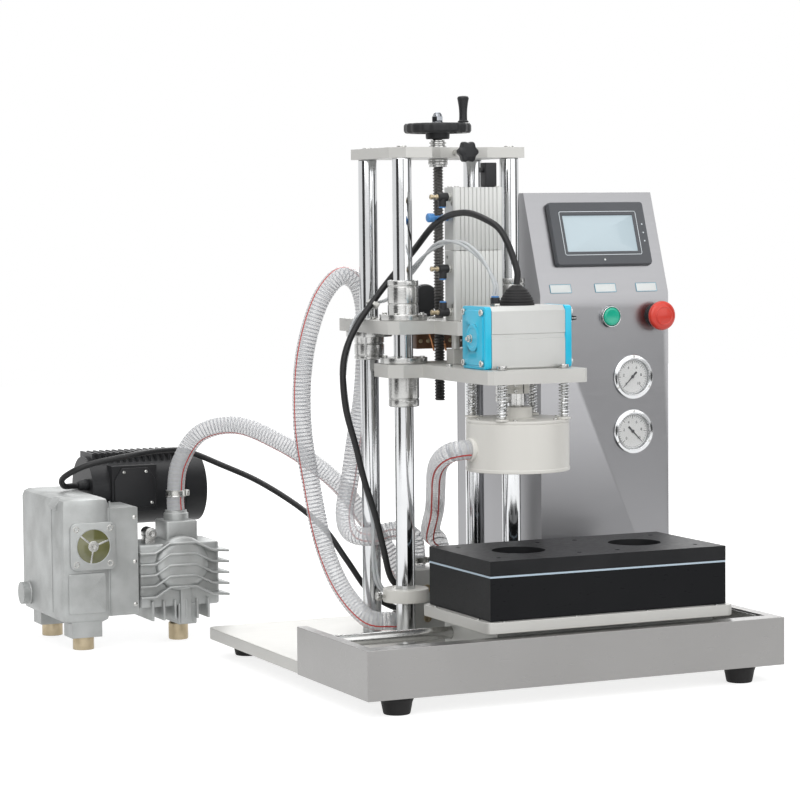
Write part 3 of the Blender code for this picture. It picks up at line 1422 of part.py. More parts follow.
def make_motor():
    axis = (MOTOR_LEFT_X, MOTOR_Y, MOTOR_Z)
    motor = rod("pump_motor", axis, (MOTOR_RIGHT_X, MOTOR_Y, MOTOR_Z), MOTOR_RADIUS, "cast_metal", 36)
    terminal = box(
        "motor_terminal_box",
        (TERMINAL_BOX_LEFT_X, TERMINAL_BOX_FRONT_Y + TERMINAL_BOX_LID, TERMINAL_BOX_BOTTOM),
        (TERMINAL_BOX_RIGHT_X, MOTOR_Y - TERMINAL_BOX_BACK, TERMINAL_BOX_TOP),
        None,
    )
    gland = rod(
        "motor_gland", (MOTOR_LEFT_X + LAP, GLAND_Y, GLAND_Z),
        (MOTOR_LEFT_X - GLAND_PROUD, GLAND_Y, GLAND_Z), GLAND_RADIUS, None, 12,
    )
    fin_start = MOTOR_LEFT_X + MOTOR_FIN_START
    fins = [
        box(
            f"motor_fin_{index}",
            (fin_start + index * MOTOR_FIN_PITCH, MOTOR_Y - MOTOR_FIN_HALF,
             MOTOR_Z + MOTOR_RADIUS * MOTOR_FIN_FOOT),
            (fin_start + index * MOTOR_FIN_PITCH + MOTOR_FIN_THICK, MOTOR_Y + MOTOR_FIN_HALF,
             MOTOR_Z + MOTOR_RADIUS + MOTOR_FIN),
            None,
        )
        for index in range(MOTOR_FIN_COUNT)
    ]
    combine(motor, [*fins, terminal, gland], "UNION")
    bore = rod(
        "motor_shaft_bore", (MOTOR_RIGHT_X + LAP, MOTOR_Y, MOTOR_Z),
        (MOTOR_RIGHT_X - SHAFT_BORE_DEPTH, MOTOR_Y, MOTOR_Z), FAN_SHAFT_RADIUS + RUN, None,
    )
    combine(motor, [bore], "DIFFERENCE")
    start = MOTOR_RIGHT_X + GAP
    cover = rod(
        "pump_fan_cover", (start, MOTOR_Y, MOTOR_Z), (start + FAN_COVER_LENGTH, MOTOR_Y, MOTOR_Z),
        MOTOR_RADIUS, "black_plastic", 36,
    )
    hollow = rod(
        "fan_cover_inside", (start - LAP, MOTOR_Y, MOTOR_Z),
        (start + FAN_COVER_LENGTH - FAN_COVER_WALL, MOTOR_Y, MOTOR_Z),
        MOTOR_RADIUS - FAN_COVER_WALL, None, 36,
    )
    combine(cover, [hollow], "DIFFERENCE")
    fan = rod(
        "pump_fan", (start + JOIN, MOTOR_Y, MOTOR_Z), (start + JOIN + FAN_WIDTH, MOTOR_Y, MOTOR_Z),
        FAN_HUB_RADIUS, "black_plastic", 24,
    )
    added = [
        rod("fan_shaft", (MOTOR_RIGHT_X - FAN_SHAFT_DEPTH, MOTOR_Y, MOTOR_Z),
            (start + 2 * JOIN, MOTOR_Y, MOTOR_Z), FAN_SHAFT_RADIUS, None)
    ]
    root = FAN_HUB_RADIUS - JOIN
    for index in range(FAN_BLADES):
        turn = 2 * math.pi * index / FAN_BLADES
        blade = box(f"fan_blade_{index}", (-FAN_WIDTH / 2, -FAN_BLADE_HALF_THICK, root),
                    (FAN_WIDTH / 2, FAN_BLADE_HALF_THICK, FAN_RADIUS), None)
        reach = (root + FAN_RADIUS) / 2
        blade.location = (
            start + JOIN + FAN_WIDTH / 2,
            MOTOR_Y + reach * math.sin(turn),
            MOTOR_Z + reach * math.cos(turn),
        )
        blade.rotation_euler = (-turn, 0, 0)
        added.append(blade)
    combine(fan, added, "UNION")


def make_cords():
    cord("pump_hose", PUMP_HOSE_ROUTE, VACUUM_HOSE_RADIUS, "hose")
    cord("loop_hose", LOOP_HOSE_ROUTE, VACUUM_HOSE_RADIUS, "hose")
    cord("chamber_hose", CHAMBER_HOSE_ROUTE, VACUUM_HOSE_RADIUS, "hose")
    cord("pump_cable", PUMP_CABLE_ROUTE, PUMP_CABLE_RADIUS, "rubber")
    cord("actuator_cable", ACTUATOR_CABLE_ROUTE, ACTUATOR_CABLE_RADIUS, "rubber")
    cord("air_tubes", AIR_TUBE_ROUTE, AIR_TUBE_RADIUS, "hose")


make_base()
make_tray()
make_columns()
make_top_plate()
make_screw()
make_star_knob()
make_lift()
make_cylinder()
make_head()
make_actuator()
make_bell()
make_spindle()
make_rails()
make_table()
make_fixture()
make_cabinet()
make_screen()
make_controls()
make_gauge("upper", GAUGE_UPPER_Z, NEEDLE_UPPER_ANGLE)
make_gauge("lower", GAUGE_LOWER_Z, NEEDLE_LOWER_ANGLE)
make_manifold()
make_oil_box()
make_pump_casting()
make_motor()
make_cords()
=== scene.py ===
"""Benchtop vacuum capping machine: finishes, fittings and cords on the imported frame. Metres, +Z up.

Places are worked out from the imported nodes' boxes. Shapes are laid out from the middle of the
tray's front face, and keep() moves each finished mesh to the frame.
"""

import math

import bmesh
import bpy
import numpy as np
from mathutils import Matrix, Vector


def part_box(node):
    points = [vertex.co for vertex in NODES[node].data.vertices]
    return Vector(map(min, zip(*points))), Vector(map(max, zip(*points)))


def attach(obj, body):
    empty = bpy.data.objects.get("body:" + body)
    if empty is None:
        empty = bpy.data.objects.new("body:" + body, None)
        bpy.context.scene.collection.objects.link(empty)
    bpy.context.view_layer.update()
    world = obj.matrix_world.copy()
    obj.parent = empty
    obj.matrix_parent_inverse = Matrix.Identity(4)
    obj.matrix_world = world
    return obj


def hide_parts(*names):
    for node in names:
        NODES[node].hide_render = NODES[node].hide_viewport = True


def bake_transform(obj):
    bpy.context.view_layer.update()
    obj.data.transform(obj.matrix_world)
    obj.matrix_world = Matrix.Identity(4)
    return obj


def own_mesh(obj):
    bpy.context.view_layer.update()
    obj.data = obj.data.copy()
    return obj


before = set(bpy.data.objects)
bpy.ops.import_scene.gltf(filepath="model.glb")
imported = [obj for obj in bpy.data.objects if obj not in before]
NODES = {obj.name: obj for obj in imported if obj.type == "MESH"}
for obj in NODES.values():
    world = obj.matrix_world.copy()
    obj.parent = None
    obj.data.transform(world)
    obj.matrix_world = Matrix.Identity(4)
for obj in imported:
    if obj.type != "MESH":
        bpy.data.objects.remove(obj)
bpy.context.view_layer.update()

tray_low, tray_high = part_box("front_tray")
ORIGIN = np.array([(tray_low.x + tray_high.x) / 2, tray_low.y, 0.0])


def box_of(node):
    """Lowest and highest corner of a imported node, measured from the tray's front middle."""
    low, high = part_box(node)
    return np.array(low) - ORIGIN, np.array(high) - ORIGIN


def middle_of(node):
    low, high = box_of(node)
    return (low + high) / 2


def upright(node):
    """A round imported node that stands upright: its lowest and highest corner, axis (x, y) and radius."""
    low, high = box_of(node)
    return low, high, (low + high)[:2] / 2, (high[0] - low[0]) / 2


CORNERS = [f"{end}_{side}" for end in ("front", "rear") for side in ("left", "right")]


# ------------------------------------------------------------------ surfaces
SAME_POINT = 0.000004
STEPS_PER_SPAN = 24
UP = np.eye(3)
FRONT = np.array([[1, 0, 0], [0, 0, -1], [0, 1, 0]], float)
LEFT = np.array([[0, 0, -1], [-1, 0, 0], [0, 1, 0]], float)
RIGHT = np.array([[0, 0, 1], [1, 0, 0], [0, 1, 0]], float)


def spun(angle):
    """A turn by an angle about the third axis, as a matrix."""
    return np.array([[math.cos(angle), -math.sin(angle), 0], [math.sin(angle), math.cos(angle), 0],
                     [0, 0, 1]])


def grid(rows, wrap_rows=False, wrap_columns=True, cap=True):
    """Vertices, faces and UVs of a sheet of points (rows, columns, 3).

    A point's neighbours are the next row and the next column. With cap, the first and last rows
    are closed by a row collapsed onto their middle.
    """
    rows = np.asarray(rows, float)
    if cap and not wrap_rows:
        first = np.repeat(rows[:1].mean(axis=1, keepdims=True), rows.shape[1], axis=1)
        last = np.repeat(rows[-1:].mean(axis=1, keepdims=True), rows.shape[1], axis=1)
        rows = np.concatenate([first, rows, last])
    count, around = rows.shape[:2]
    steps = np.linalg.norm(np.diff(rows, axis=0), axis=2).mean(axis=1)
    along = np.concatenate([[0.0], np.cumsum(steps)])
    r, c = np.meshgrid(
        np.arange(count if wrap_rows else count - 1),
        np.arange(around if wrap_columns else around - 1),
        indexing="ij",
    )
    r, c = r.ravel(), c.ravel()
    r2, c2 = (r + 1) % count, (c + 1) % around
    faces = np.stack([r * around + c, r * around + c2, r2 * around + c2, r2 * around + c], 1)
    u0, u1 = c / around, (c + 1) / around
    v0, v1 = along[r], along[np.minimum(r + 1, count - 1)]
    uvs = np.stack([np.stack([u0, v0], 1), np.stack([u1, v0], 1), np.stack([u1, v1], 1),
                    np.stack([u0, v1], 1)], 1)
    return rows.reshape(-1, 3), faces, uvs


def joined(*sheets):
    """Several (vertices, faces, UVs) as one."""
    starts = np.cumsum([0] + [len(sheet[0]) for sheet in sheets[:-1]])
    return (
        np.concatenate([sheet[0] for sheet in sheets]),
        np.concatenate([sheet[1] + start for sheet, start in zip(sheets, starts)]),
        np.concatenate([sheet[2] for sheet in sheets]),
    )


def rounded(profile, radius, steps=3):
    """An open profile with its inner corners turned into quadratic arcs of about that radius."""
    p = np.asarray(profile, float)
    before, corner, after = p[:-2], p[1:-1], p[2:]
    back, ahead = before - corner, after - corner
    reach = np.minimum(radius, 0.45 * np.minimum(np.linalg.norm(back, axis=1),
                                                 np.linalg.norm(ahead, axis=1)))
    start = corner + back / np.linalg.norm(back, axis=1, keepdims=True) * reach[:, None]
    end = corner + ahead / np.linalg.norm(ahead, axis=1, keepdims=True) * reach[:, None]
    t = np.linspace(0, 1, steps + 1)[None, :, None]
    arcs = (1 - t) ** 2 * start[:, None] + 2 * t * (1 - t) * corner[:, None] + t**2 * end[:, None]
    return np.concatenate([p[:1], arcs.reshape(-1, p.shape[1]), p[-1:]])


def turned(profile, centre, facing=UP, sides=40, edge=0.0006, cap=True, lobes=0, lobe=0.0, ring=False):
    """A profile of (radius, height) swung round facing's third axis through centre.

    Lobes scale the radius by 1 + lobe * cos(lobes * angle). ring closes the profile on itself.
    """
    p = np.asarray(profile, float)
    if ring:
        p = rounded(np.concatenate([p, p[:2]]), edge)[1:-1]
    elif edge:
        p = rounded(p, edge)
    turn = np.arange(sides) * 2 * math.pi / sides
    scale = 1 + lobe * np.cos(lobes * turn)
    local = np.stack([
        p[:, :1] * scale * np.cos(turn), p[:, :1] * scale * np.sin(turn),
        np.repeat(p[:, 1:2], sides, axis=1),
    ], axis=2)
    return grid(local @ np.asarray(facing).T + np.asarray(centre, float), wrap_rows=ring, cap=cap)


def disc(radius, low, high, *place, **sort):
    """A flat round piece from low to high along the third axis."""
    return turned([(0, low), (radius, low), (radius, high), (0, high)], *place, **sort)


def washer(inner, outer, low, high, *place, **sort):
    """A flat ring from low to high along the third axis."""
    return turned([(inner, low), (outer, low), (outer, high), (inner, high)], *place, ring=True, **sort)


def inset(outline, by):
    """A closed outline moved inwards by a distance, along the mean of each corner's two edges."""
    o = np.asarray(outline, float)
    ahead = np.roll(o, -1, axis=0) - o
    area = (o[:, 0] * np.roll(o[:, 1], -1) - np.roll(o[:, 0], -1) * o[:, 1]).sum()
    normal = np.stack([-ahead[:, 1], ahead[:, 0]], 1) / np.linalg.norm(ahead, axis=1, keepdims=True)
    normal *= np.sign(area)
    mean = normal + np.roll(normal, 1, axis=0)
    mean /= np.maximum((mean * normal).sum(axis=1, keepdims=True), 0.4)
    return o + mean * by


def prism(outline, low, high, edge=0.0008, centre=(0, 0, 0), facing=UP, taper=0.0, steps=3):
    """An outline raised from low to high along facing's third axis, its two rims rounded by edge.

    taper is how far the outline has moved in at the top.
    """
    turn = np.linspace(0, math.pi / 2, steps + 1)
    drop = edge * (1 - np.sin(turn))
    heights = np.concatenate([low + edge * (1 - np.cos(turn)), high - edge * (1 - np.cos(turn[::-1]))])
    moves = np.concatenate([drop, drop[::-1]])
    moves = moves + taper * (heights - low) / (high - low)
    rows = np.stack([
        np.column_stack([inset(outline, move), np.full(len(outline), height)])
        for move, height in zip(moves, heights)
    ])
    return grid(rows @ np.asarray(facing).T + np.asarray(centre, float))


def rectangle(low, high, radius=0.0, steps=4):
    """Outline of a rectangle between two corners, anticlockwise, each corner an arc."""
    low, high = np.asarray(low, float), np.asarray(high, float)
    if not radius:
        return np.array([low, (high[0], low[1]), high, (low[0], high[1])])
    quarter = np.linspace(0, math.pi / 2, steps + 1)
    corners = ((high[0] - radius, high[1] - radius), (low[0] + radius, high[1] - radius),
               (low[0] + radius, low[1] + radius), (high[0] - radius, low[1] + radius))
    return np.concatenate([
        np.column_stack([x + radius * np.cos(quarter + k * math.pi / 2),
                         y + radius * np.sin(quarter + k * math.pi / 2)])
        for k, (x, y) in enumerate(corners)
    ])


def block(low, high, edge=0.001, corner=0.0):
    """A block between two corners with rounded rims and, with corner, rounded upright edges."""
    outline = rectangle(low[:2], high[:2], corner or edge, 3)
    return prism(outline, low[2], high[2], edge)


def bar(start, end, radius, sides=20, edge=0.0004, end_radius=None):
    """A round bar from start to end, its rims rounded."""
    start, end = np.asarray(start, float), np.asarray(end, float)
    run = end - start
    length = np.linalg.norm(run)
    z = run / length
    x = np.cross(z, [0, 0, 1] if abs(z[2]) < 0.9 else [0, 1, 0])
    x /= np.linalg.norm(x)
    top = radius if end_radius is None else end_radius
    profile = [(0, 0), (radius, 0), (top, length), (0, length)]
    return turned(profile, start, np.column_stack([x, np.cross(z, x), z]), sides, edge)


def smooth_line(points, spacing):
    """Catmull-Rom curve through the points, then read off at even steps of about spacing."""
    p = np.asarray(points, float)
    p = np.concatenate([2 * p[:1] - p[1:2], p, 2 * p[-1:] - p[-2:-1]])
    t = np.linspace(0, 1, STEPS_PER_SPAN, endpoint=False)[None, :, None]
    a, b, c, d = (p[k:len(p) - 3 + k][:, None] for k in range(4))
    line = b + ((c - a) * t + (2 * a - 5 * b + 4 * c - d) * t**2 + (3 * b - a - 3 * c + d) * t**3) / 2
    line = np.concatenate([line.reshape(-1, 3), p[-2:-1]])
    travel = np.concatenate([[0], np.cumsum(np.linalg.norm(np.diff(line, axis=0), axis=1))])
    even = np.linspace(0, travel[-1], max(2, round(travel[-1] / spacing)) + 1)
    return np.column_stack([np.interp(even, travel, line[:, k]) for k in range(3)])


def length_of(line):
    return float(np.linalg.norm(np.diff(line, axis=0), axis=1).sum())


def frames_along(line):
    """Two unit vectors across the line at each point, carried along it without twist."""
    ahead = np.gradient(line, axis=0)
    ahead /= np.linalg.norm(ahead, axis=1, keepdims=True)
    side = np.cross(ahead[0], [0, 0, 1] if abs(ahead[0][2]) < 0.9 else [0, 1, 0])
    sides = []
    for direction in ahead:
        side = side - direction * side.dot(direction)
        side = side / np.linalg.norm(side)
        sides.append(side)
    sides = np.array(sides)
    return sides, np.cross(ahead, sides)


def tube(line, radius, sides=16, pitch=0.0, rib=0.0, offset=0.0, twist=0.0, phase=0.0, cap=True,
         part=None):
    """A round section carried along a line, or along a part of it: its first and last points.

    pitch and rib give a helical rib: the radius grows by rib * (0.5 + 0.5 cos) ^ 2 of the angle
    less the turns travelled. offset and twist carry the section round the line as a strand.
    """
    across, over = frames_along(line)
    travel = np.concatenate([[0], np.cumsum(np.linalg.norm(np.diff(line, axis=0), axis=1))])
    turn = (np.arange(sides) * 2 * math.pi / sides)[None, :]
    size = np.broadcast_to(np.asarray(radius, float), (len(line),))[:, None]
    if rib:
        wave = 0.5 + 0.5 * np.cos(turn - 2 * math.pi * travel[:, None] / pitch)
        size = size + rib * wave**2
    shift = phase + 2 * math.pi * travel * twist
    centre = line + offset * (np.cos(shift)[:, None] * across + np.sin(shift)[:, None] * over)
    rows = centre[:, None] + (size * np.cos(turn))[..., None] * across[:, None] + \
        (size * np.sin(turn))[..., None] * over[:, None]
    first, last = part or (0, len(line) - 1)
    vertices, faces, uvs = grid(rows[first:last + 1], cap=cap)
    return vertices, faces, uvs + (0, travel[first])


def spring(x, y, low, high, radius, wire, turns):
    """A coil spring: a small circle carried round a helix, its two end turns lying closer."""
    t = np.linspace(0, 1, int(turns * 18) + 1)
    closer = t + 0.03 * np.sin(2 * math.pi * t * 2) / 2
    angle = 2 * math.pi * turns * t
    line = np.column_stack([x + radius * np.cos(angle), y + radius * np.sin(angle),
                            low + wire + (high - low - 2 * wire) * closer])
    return tube(line, wire, 8)


def hexagon(across):
    turn = np.arange(6) * math.pi / 3
    return across / math.sqrt(3) * np.column_stack([np.cos(turn), np.sin(turn)])


def hex_bolt(centre, facing, across=0.008, head=0.0035):
    """A hexagon head with a dished washer face under it."""
    return joined(disc(across * 0.62, 0, 0.0008, centre, facing, 20, 0.0002),
                  prism(hexagon(across), 0.0008, head, 0.0004, centre, facing))


def socket_screw(centre, facing, radius=0.004, head=0.003):
    """A round head with a hexagon socket sunk in it."""
    socket_floor = head * 0.35
    return turned([(0, 0), (radius, 0), (radius, head), (radius * 0.52, head), (radius * 0.5, socket_floor),
                   (0, socket_floor)], centre, facing, 24, 0.0004)


def pan_screw(centre, facing, radius=0.004, head=0.002):
    """A domed head: the dome falls off as the square of the radius."""
    t = np.linspace(1, 0.08, 6)
    dome = [(radius * r, head * (1 - 0.75 * r**2)) for r in t]
    return turned([(radius, 0)] + dome, centre, facing, 20, 0)


def mesh_of(name, sheet, smooth=35):
    """A mesh with doubled points merged, faces turned outwards and sharp edges kept."""
    vertices, faces, uvs = sheet
    mesh = bpy.data.meshes.new(name)
    mesh.from_pydata((vertices + ORIGIN).tolist(), [], faces.tolist())
    layer = mesh.uv_layers.new(name="along")
    layer.data.foreach_set("uv", uvs.reshape(-1).astype(np.float32))
    work = bmesh.new()
    work.from_mesh(mesh)
    bmesh.ops.remove_doubles(work, verts=work.verts, dist=SAME_POINT)
    bmesh.ops.dissolve_degenerate(work, edges=work.edges, dist=0.000001)
    bmesh.ops.recalc_face_normals(work, faces=work.faces)
    work.to_mesh(mesh)
    work.free()
    mesh.shade_smooth()
    mesh.set_sharp_from_angle(angle=math.radians(smooth))
    return mesh


def keep(name, sheet, body, material, replaces=(), smooth=35):
    """The finished piece: its mesh and finish, riding on its body in place of its CAD nodes."""
    obj = bpy.data.objects.new(name, mesh_of(name, sheet, smooth))
    bpy.context.scene.collection.objects.link(obj)
    obj.data.materials.append(material)
    if body:
        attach(obj, body)
    if replaces:
        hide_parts(*replaces)
    return obj


# ------------------------------------------------------------------ finishes
def finish(name, colour, roughness, metallic=0.0, second=None, blotch=9.0, streak=(1, 1, 1),
           grain=260.0, bump=0.06, rough_range=0.08, coat=0.0, transmission=0.0):
    """A surface whose colour drifts between two tones with a broad noise, whose roughness follows
    a noise stretched by streak, and whose relief is a fine noise of that grain."""
    material = bpy.data.materials.new(name)
    material.use_nodes = True
    tree = material.node_tree
    shader = tree.nodes["Principled BSDF"]
    shader.inputs["Metallic"].default_value = metallic
    shader.inputs["Coat Weight"].default_value = coat
    shader.inputs["Transmission Weight"].default_value = transmission
    place = tree.nodes.new("ShaderNodeTexCoord")
    stretch = tree.nodes.new("ShaderNodeMapping")
    stretch.inputs["Scale"].default_value = streak
    tree.links.new(place.outputs["Object"], stretch.inputs["Vector"])

    def noise(scale, vector, detail=3.0):
        node = tree.nodes.new("ShaderNodeTexNoise")
        node.inputs["Scale"].default_value = scale
        node.inputs["Detail"].default_value = detail
        tree.links.new(vector, node.inputs["Vector"])
        return node.outputs["Fac"]

    mix = tree.nodes.new("ShaderNodeMix")
    mix.data_type = "RGBA"
    ramp = tree.nodes.new("ShaderNodeMapRange")
    ramp.inputs["From Min"].default_value = 0.35
    ramp.inputs["From Max"].default_value = 0.65
    tree.links.new(noise(blotch, place.outputs["Object"]), ramp.inputs["Value"])
    tree.links.new(ramp.outputs["Result"], mix.inputs["Factor"])
    mix.inputs["A"].default_value = (*colour, 1)
    mix.inputs["B"].default_value = (*(second or tuple(0.9 * c for c in colour)), 1)
    tree.links.new(mix.outputs["Result"], shader.inputs["Base Color"])
    fine = noise(grain, stretch.outputs["Vector"], 4.0)
    rough = tree.nodes.new("ShaderNodeMapRange")
    rough.inputs["From Min"].default_value = 0.3
    rough.inputs["From Max"].default_value = 0.7
    rough.inputs["To Min"].default_value = roughness - rough_range / 2
    rough.inputs["To Max"].default_value = roughness + rough_range / 2
    tree.links.new(fine, rough.inputs["Value"])
    tree.links.new(rough.outputs["Result"], shader.inputs["Roughness"])
    relief = tree.nodes.new("ShaderNodeBump")
    relief.inputs["Strength"].default_value = bump
    relief.inputs["Distance"].default_value = 0.0006
    tree.links.new(fine, relief.inputs["Height"])
    tree.links.new(relief.outputs["Normal"], shader.inputs["Normal"])
    return material


BRUSHED_ACROSS = (0.04, 1, 1)
BRUSHED_UPRIGHT = (1, 1, 0.03)
SATIN_PLATE = finish("satin_plate", (0.64, 0.635, 0.61), 0.42, 0.35, (0.60, 0.595, 0.57),
                     streak=(0.1, 1, 1))
BRUSHED_STEEL = finish("brushed_steel", (0.31, 0.31, 0.32), 0.30, 1.0, (0.295, 0.295, 0.305), 4.0,
                       BRUSHED_ACROSS, 700, 0.03, 0.05)
TRAY_STEEL = finish("tray_steel", (0.33, 0.325, 0.32), 0.30, 1.0, (0.305, 0.30, 0.295), 5.0,
                    BRUSHED_ACROSS, 600, 0.03, 0.06)
HARD_CHROME = finish("hard_chrome", (0.66, 0.67, 0.68), 0.10, 1.0, (0.60, 0.61, 0.62), 14.0, (1, 1, 0.2),
                     90, 0.01, 0.06)
TURNED_STEEL = finish("turned_steel", (0.55, 0.55, 0.54), 0.24, 1.0, (0.47, 0.47, 0.46), 20.0, (1, 1, 20),
                      160, 0.05, 0.12)
SHADED_CHROME = finish("shaded_chrome", (0.30, 0.31, 0.33), 0.12, 1.0, (0.22, 0.23, 0.25), 60.0, grain=120,
                       bump=0.01)
ZINC_SCREW = finish("zinc_screw", (0.60, 0.60, 0.58), 0.28, 1.0, (0.48, 0.48, 0.46), 60.0, grain=400,
                    bump=0.05)
BRASS = finish("brass", (0.50, 0.42, 0.29), 0.34, 1.0, (0.40, 0.33, 0.22), 50.0, grain=400, bump=0.06)
GREASY_THREAD = finish("greasy_thread", (0.16, 0.155, 0.15), 0.36, 0.9, (0.06, 0.06, 0.06), 30.0,
                       grain=300, bump=0.08, rough_range=0.2)
ANODISED = finish("anodised_aluminium", (0.63, 0.635, 0.62), 0.40, 0.45, (0.59, 0.595, 0.58), 12.0,
                  BRUSHED_UPRIGHT, 500, 0.05)
CAST_ALUMINIUM = finish("cast_aluminium", (0.52, 0.535, 0.53), 0.46, 0.55, (0.40, 0.41, 0.405), 22.0,
                        grain=420, bump=0.35, rough_range=0.16)
BLACK_NYLON = finish("black_nylon", (0.018, 0.019, 0.021), 0.42, second=(0.026, 0.026, 0.028), grain=900,
                     bump=0.12)
BLACK_SHEET = finish("black_sheet_plastic", (0.006, 0.0065, 0.008), 0.34, second=(0.010, 0.0105, 0.012),
                     blotch=6.0, streak=(0.2, 1, 1), grain=500, bump=0.05, rough_range=0.14)
# The fixture's top is the same black plastic as the block under it. Its lighter colour is painted sheen,
# the brighter reflection its upward face shows. Its higher roughness is the matte milled face.
BLACK_TOP_PAINTED_SHEEN = finish("black_top_painted_sheen", (0.016, 0.0165, 0.018), 0.46, second=(0.024, 0.0245, 0.026),
                   blotch=14.0, streak=(0.15, 1, 1), grain=700, bump=0.08, rough_range=0.14)
BLACK_RUBBER = finish("black_rubber", (0.016, 0.016, 0.017), 0.62, second=(0.028, 0.027, 0.027), grain=600,
                      bump=0.18)
CABLE_JACKET = finish("cable_jacket", (0.012, 0.012, 0.013), 0.40, second=(0.02, 0.02, 0.021), blotch=40.0,
                      grain=700, bump=0.08)
IVORY_PLASTIC = finish("ivory_plastic", (0.80, 0.79, 0.745), 0.38, second=(0.77, 0.755, 0.71), grain=350,
                       bump=0.04, coat=0.1)
CYAN_ENAMEL = finish("cyan_enamel", (0.012, 0.60, 0.86), 0.32, second=(0.010, 0.55, 0.82), grain=300,
                     bump=0.08, coat=0.25)
BLUE_RING = finish("blue_ring_plastic", (0.07, 0.27, 0.62), 0.35, second=(0.06, 0.23, 0.56), grain=500,
                   bump=0.03)
GREEN_LENS = finish("green_lens", (0.0, 0.52, 0.33), 0.24, second=(0.0, 0.47, 0.30), grain=300, bump=0.02,
                    coat=0.4)
RED_CAP = finish("red_mushroom_cap", (0.80, 0.050, 0.028), 0.34, second=(0.74, 0.044, 0.025), grain=500,
                 bump=0.04, coat=0.2)
DIAL_CARD = finish("dial_card", (0.90, 0.90, 0.89), 0.5, second=(0.88, 0.88, 0.87), grain=900, bump=0.01)
DIAL_INK = finish("dial_ink", (0.03, 0.03, 0.035), 0.5, grain=900, bump=0.01)
LABEL_CARD = finish("blank_label", (0.84, 0.87, 0.86), 0.35, second=(0.81, 0.845, 0.84), grain=300,
                    bump=0.01)
LABEL_EDGE = finish("label_border", (0.16, 0.42, 0.55), 0.4, grain=300, bump=0.01)
SCREEN_GLASS = finish("screen_glass", (0.56, 0.68, 0.74), 0.16, second=(0.53, 0.65, 0.71), blotch=7.0,
                      grain=200, bump=0.0, rough_range=0.03, coat=0.6)
SCREEN_LINE = finish("screen_frame_line", (0.80, 0.86, 0.90), 0.2, grain=200, bump=0.0, rough_range=0.02)
BEZEL = finish("screen_bezel", (0.075, 0.08, 0.09), 0.40, second=(0.085, 0.09, 0.10), grain=1100, bump=0.10)
SEAL_STRIP = finish("seal_strip", (0.60, 0.72, 0.82), 0.45, second=(0.52, 0.66, 0.78), grain=400, bump=0.04)
OIL_GLASS = finish("oil_sight_glass", (0.20, 0.20, 0.075), 0.08, second=(0.12, 0.125, 0.05), blotch=30.0,
                   grain=200, bump=0.0, rough_range=0.03, coat=1.0)
CLEAR_TUBE = finish("clear_air_tube", (0.74, 0.76, 0.77), 0.18, second=(0.66, 0.69, 0.71), blotch=60.0,
                    grain=200, bump=0.02, transmission=0.25)
BROWN_BLOCK = finish("brown_terminal_block", (0.16, 0.075, 0.03), 0.42, second=(0.12, 0.055, 0.022),
                     grain=600, bump=0.1)
COPPER = finish("copper_wire", (0.70, 0.33, 0.16), 0.3, 1.0, (0.58, 0.26, 0.12), 80.0, grain=500, bump=0.04)
WHITE_TIE = finish("white_tie", (0.78, 0.78, 0.75), 0.4, second=(0.74, 0.74, 0.70), grain=500, bump=0.03)


# duller gloss for the blacks
for black, gloss in ((BLACK_SHEET, 0.12), (BLACK_TOP_PAINTED_SHEEN, 0.14), (BLACK_NYLON, 0.30), (BLACK_RUBBER, 0.25),
                     (CABLE_JACKET, 0.35)):
    black.node_tree.nodes["Principled BSDF"].inputs["Specular IOR Level"].default_value = gloss


def hose_finish():
    """Clear soft plastic with a steel spiral in its wall and two thin red lines along it.

    The piece's UV has turns across and metres along, so the spiral is the fraction of
    along / pitch - turns, and a red line stands at a fixed share of the turn.
    """
    material = finish("wire_wound_clear_hose", (0.90, 0.91, 0.92), 0.30, second=(0.84, 0.86, 0.87),
                      blotch=34.0, grain=200, bump=0.02)
    tree = material.node_tree
    shader = tree.nodes["Principled BSDF"]
    base = shader.inputs["Base Color"].links[0].from_socket

    def number(operation, first, second):
        node = tree.nodes.new("ShaderNodeMath")
        node.operation = operation
        for socket, value in zip(node.inputs, (first, second)):
            if isinstance(value, (int, float)):
                socket.default_value = value
            else:
                tree.links.new(value, socket)
        return node.outputs[0]

    along = tree.nodes.new("ShaderNodeUVMap")
    along.uv_map = "along"
    split = tree.nodes.new("ShaderNodeSeparateXYZ")
    tree.links.new(along.outputs["UV"], split.inputs["Vector"])
    spiral = number("FRACT", number("SUBTRACT", number("DIVIDE", split.outputs["Y"], HOSE_PITCH),
                                    split.outputs["X"]), 0)
    near_wire = number("ABSOLUTE", number("SUBTRACT", spiral, 0.5), 0)
    wire = number("GREATER_THAN", near_wire, 0.39)

    def line(share, half):
        return number("LESS_THAN", number("ABSOLUTE", number("SUBTRACT", split.outputs["X"], share), 0),
                      half)

    red = number("MAXIMUM", line(0.30, 0.014), line(0.42, 0.014))

    def mixed(factor, first, colour):
        node = tree.nodes.new("ShaderNodeMix")
        node.data_type = "RGBA"
        tree.links.new(factor, node.inputs["Factor"])
        tree.links.new(first, node.inputs["A"])
        node.inputs["B"].default_value = (*colour, 1)
        return node.outputs["Result"]

    wound = mixed(wire, base, (0.46, 0.47, 0.50))
    tree.links.new(mixed(red, wound, (0.62, 0.06, 0.05)), shader.inputs["Base Color"])
    clear = number("MULTIPLY", number("SUBTRACT", 1, wire), number("SUBTRACT", 1, red))
    tree.links.new(number("SUBTRACT", 1, number("MULTIPLY", clear, HOSE_CLEARNESS)), shader.inputs["Alpha"])
    return material


HOSE_PITCH = 0.0052
HOSE_CLEARNESS = 0.50
WIRE_HOSE = hose_finish()

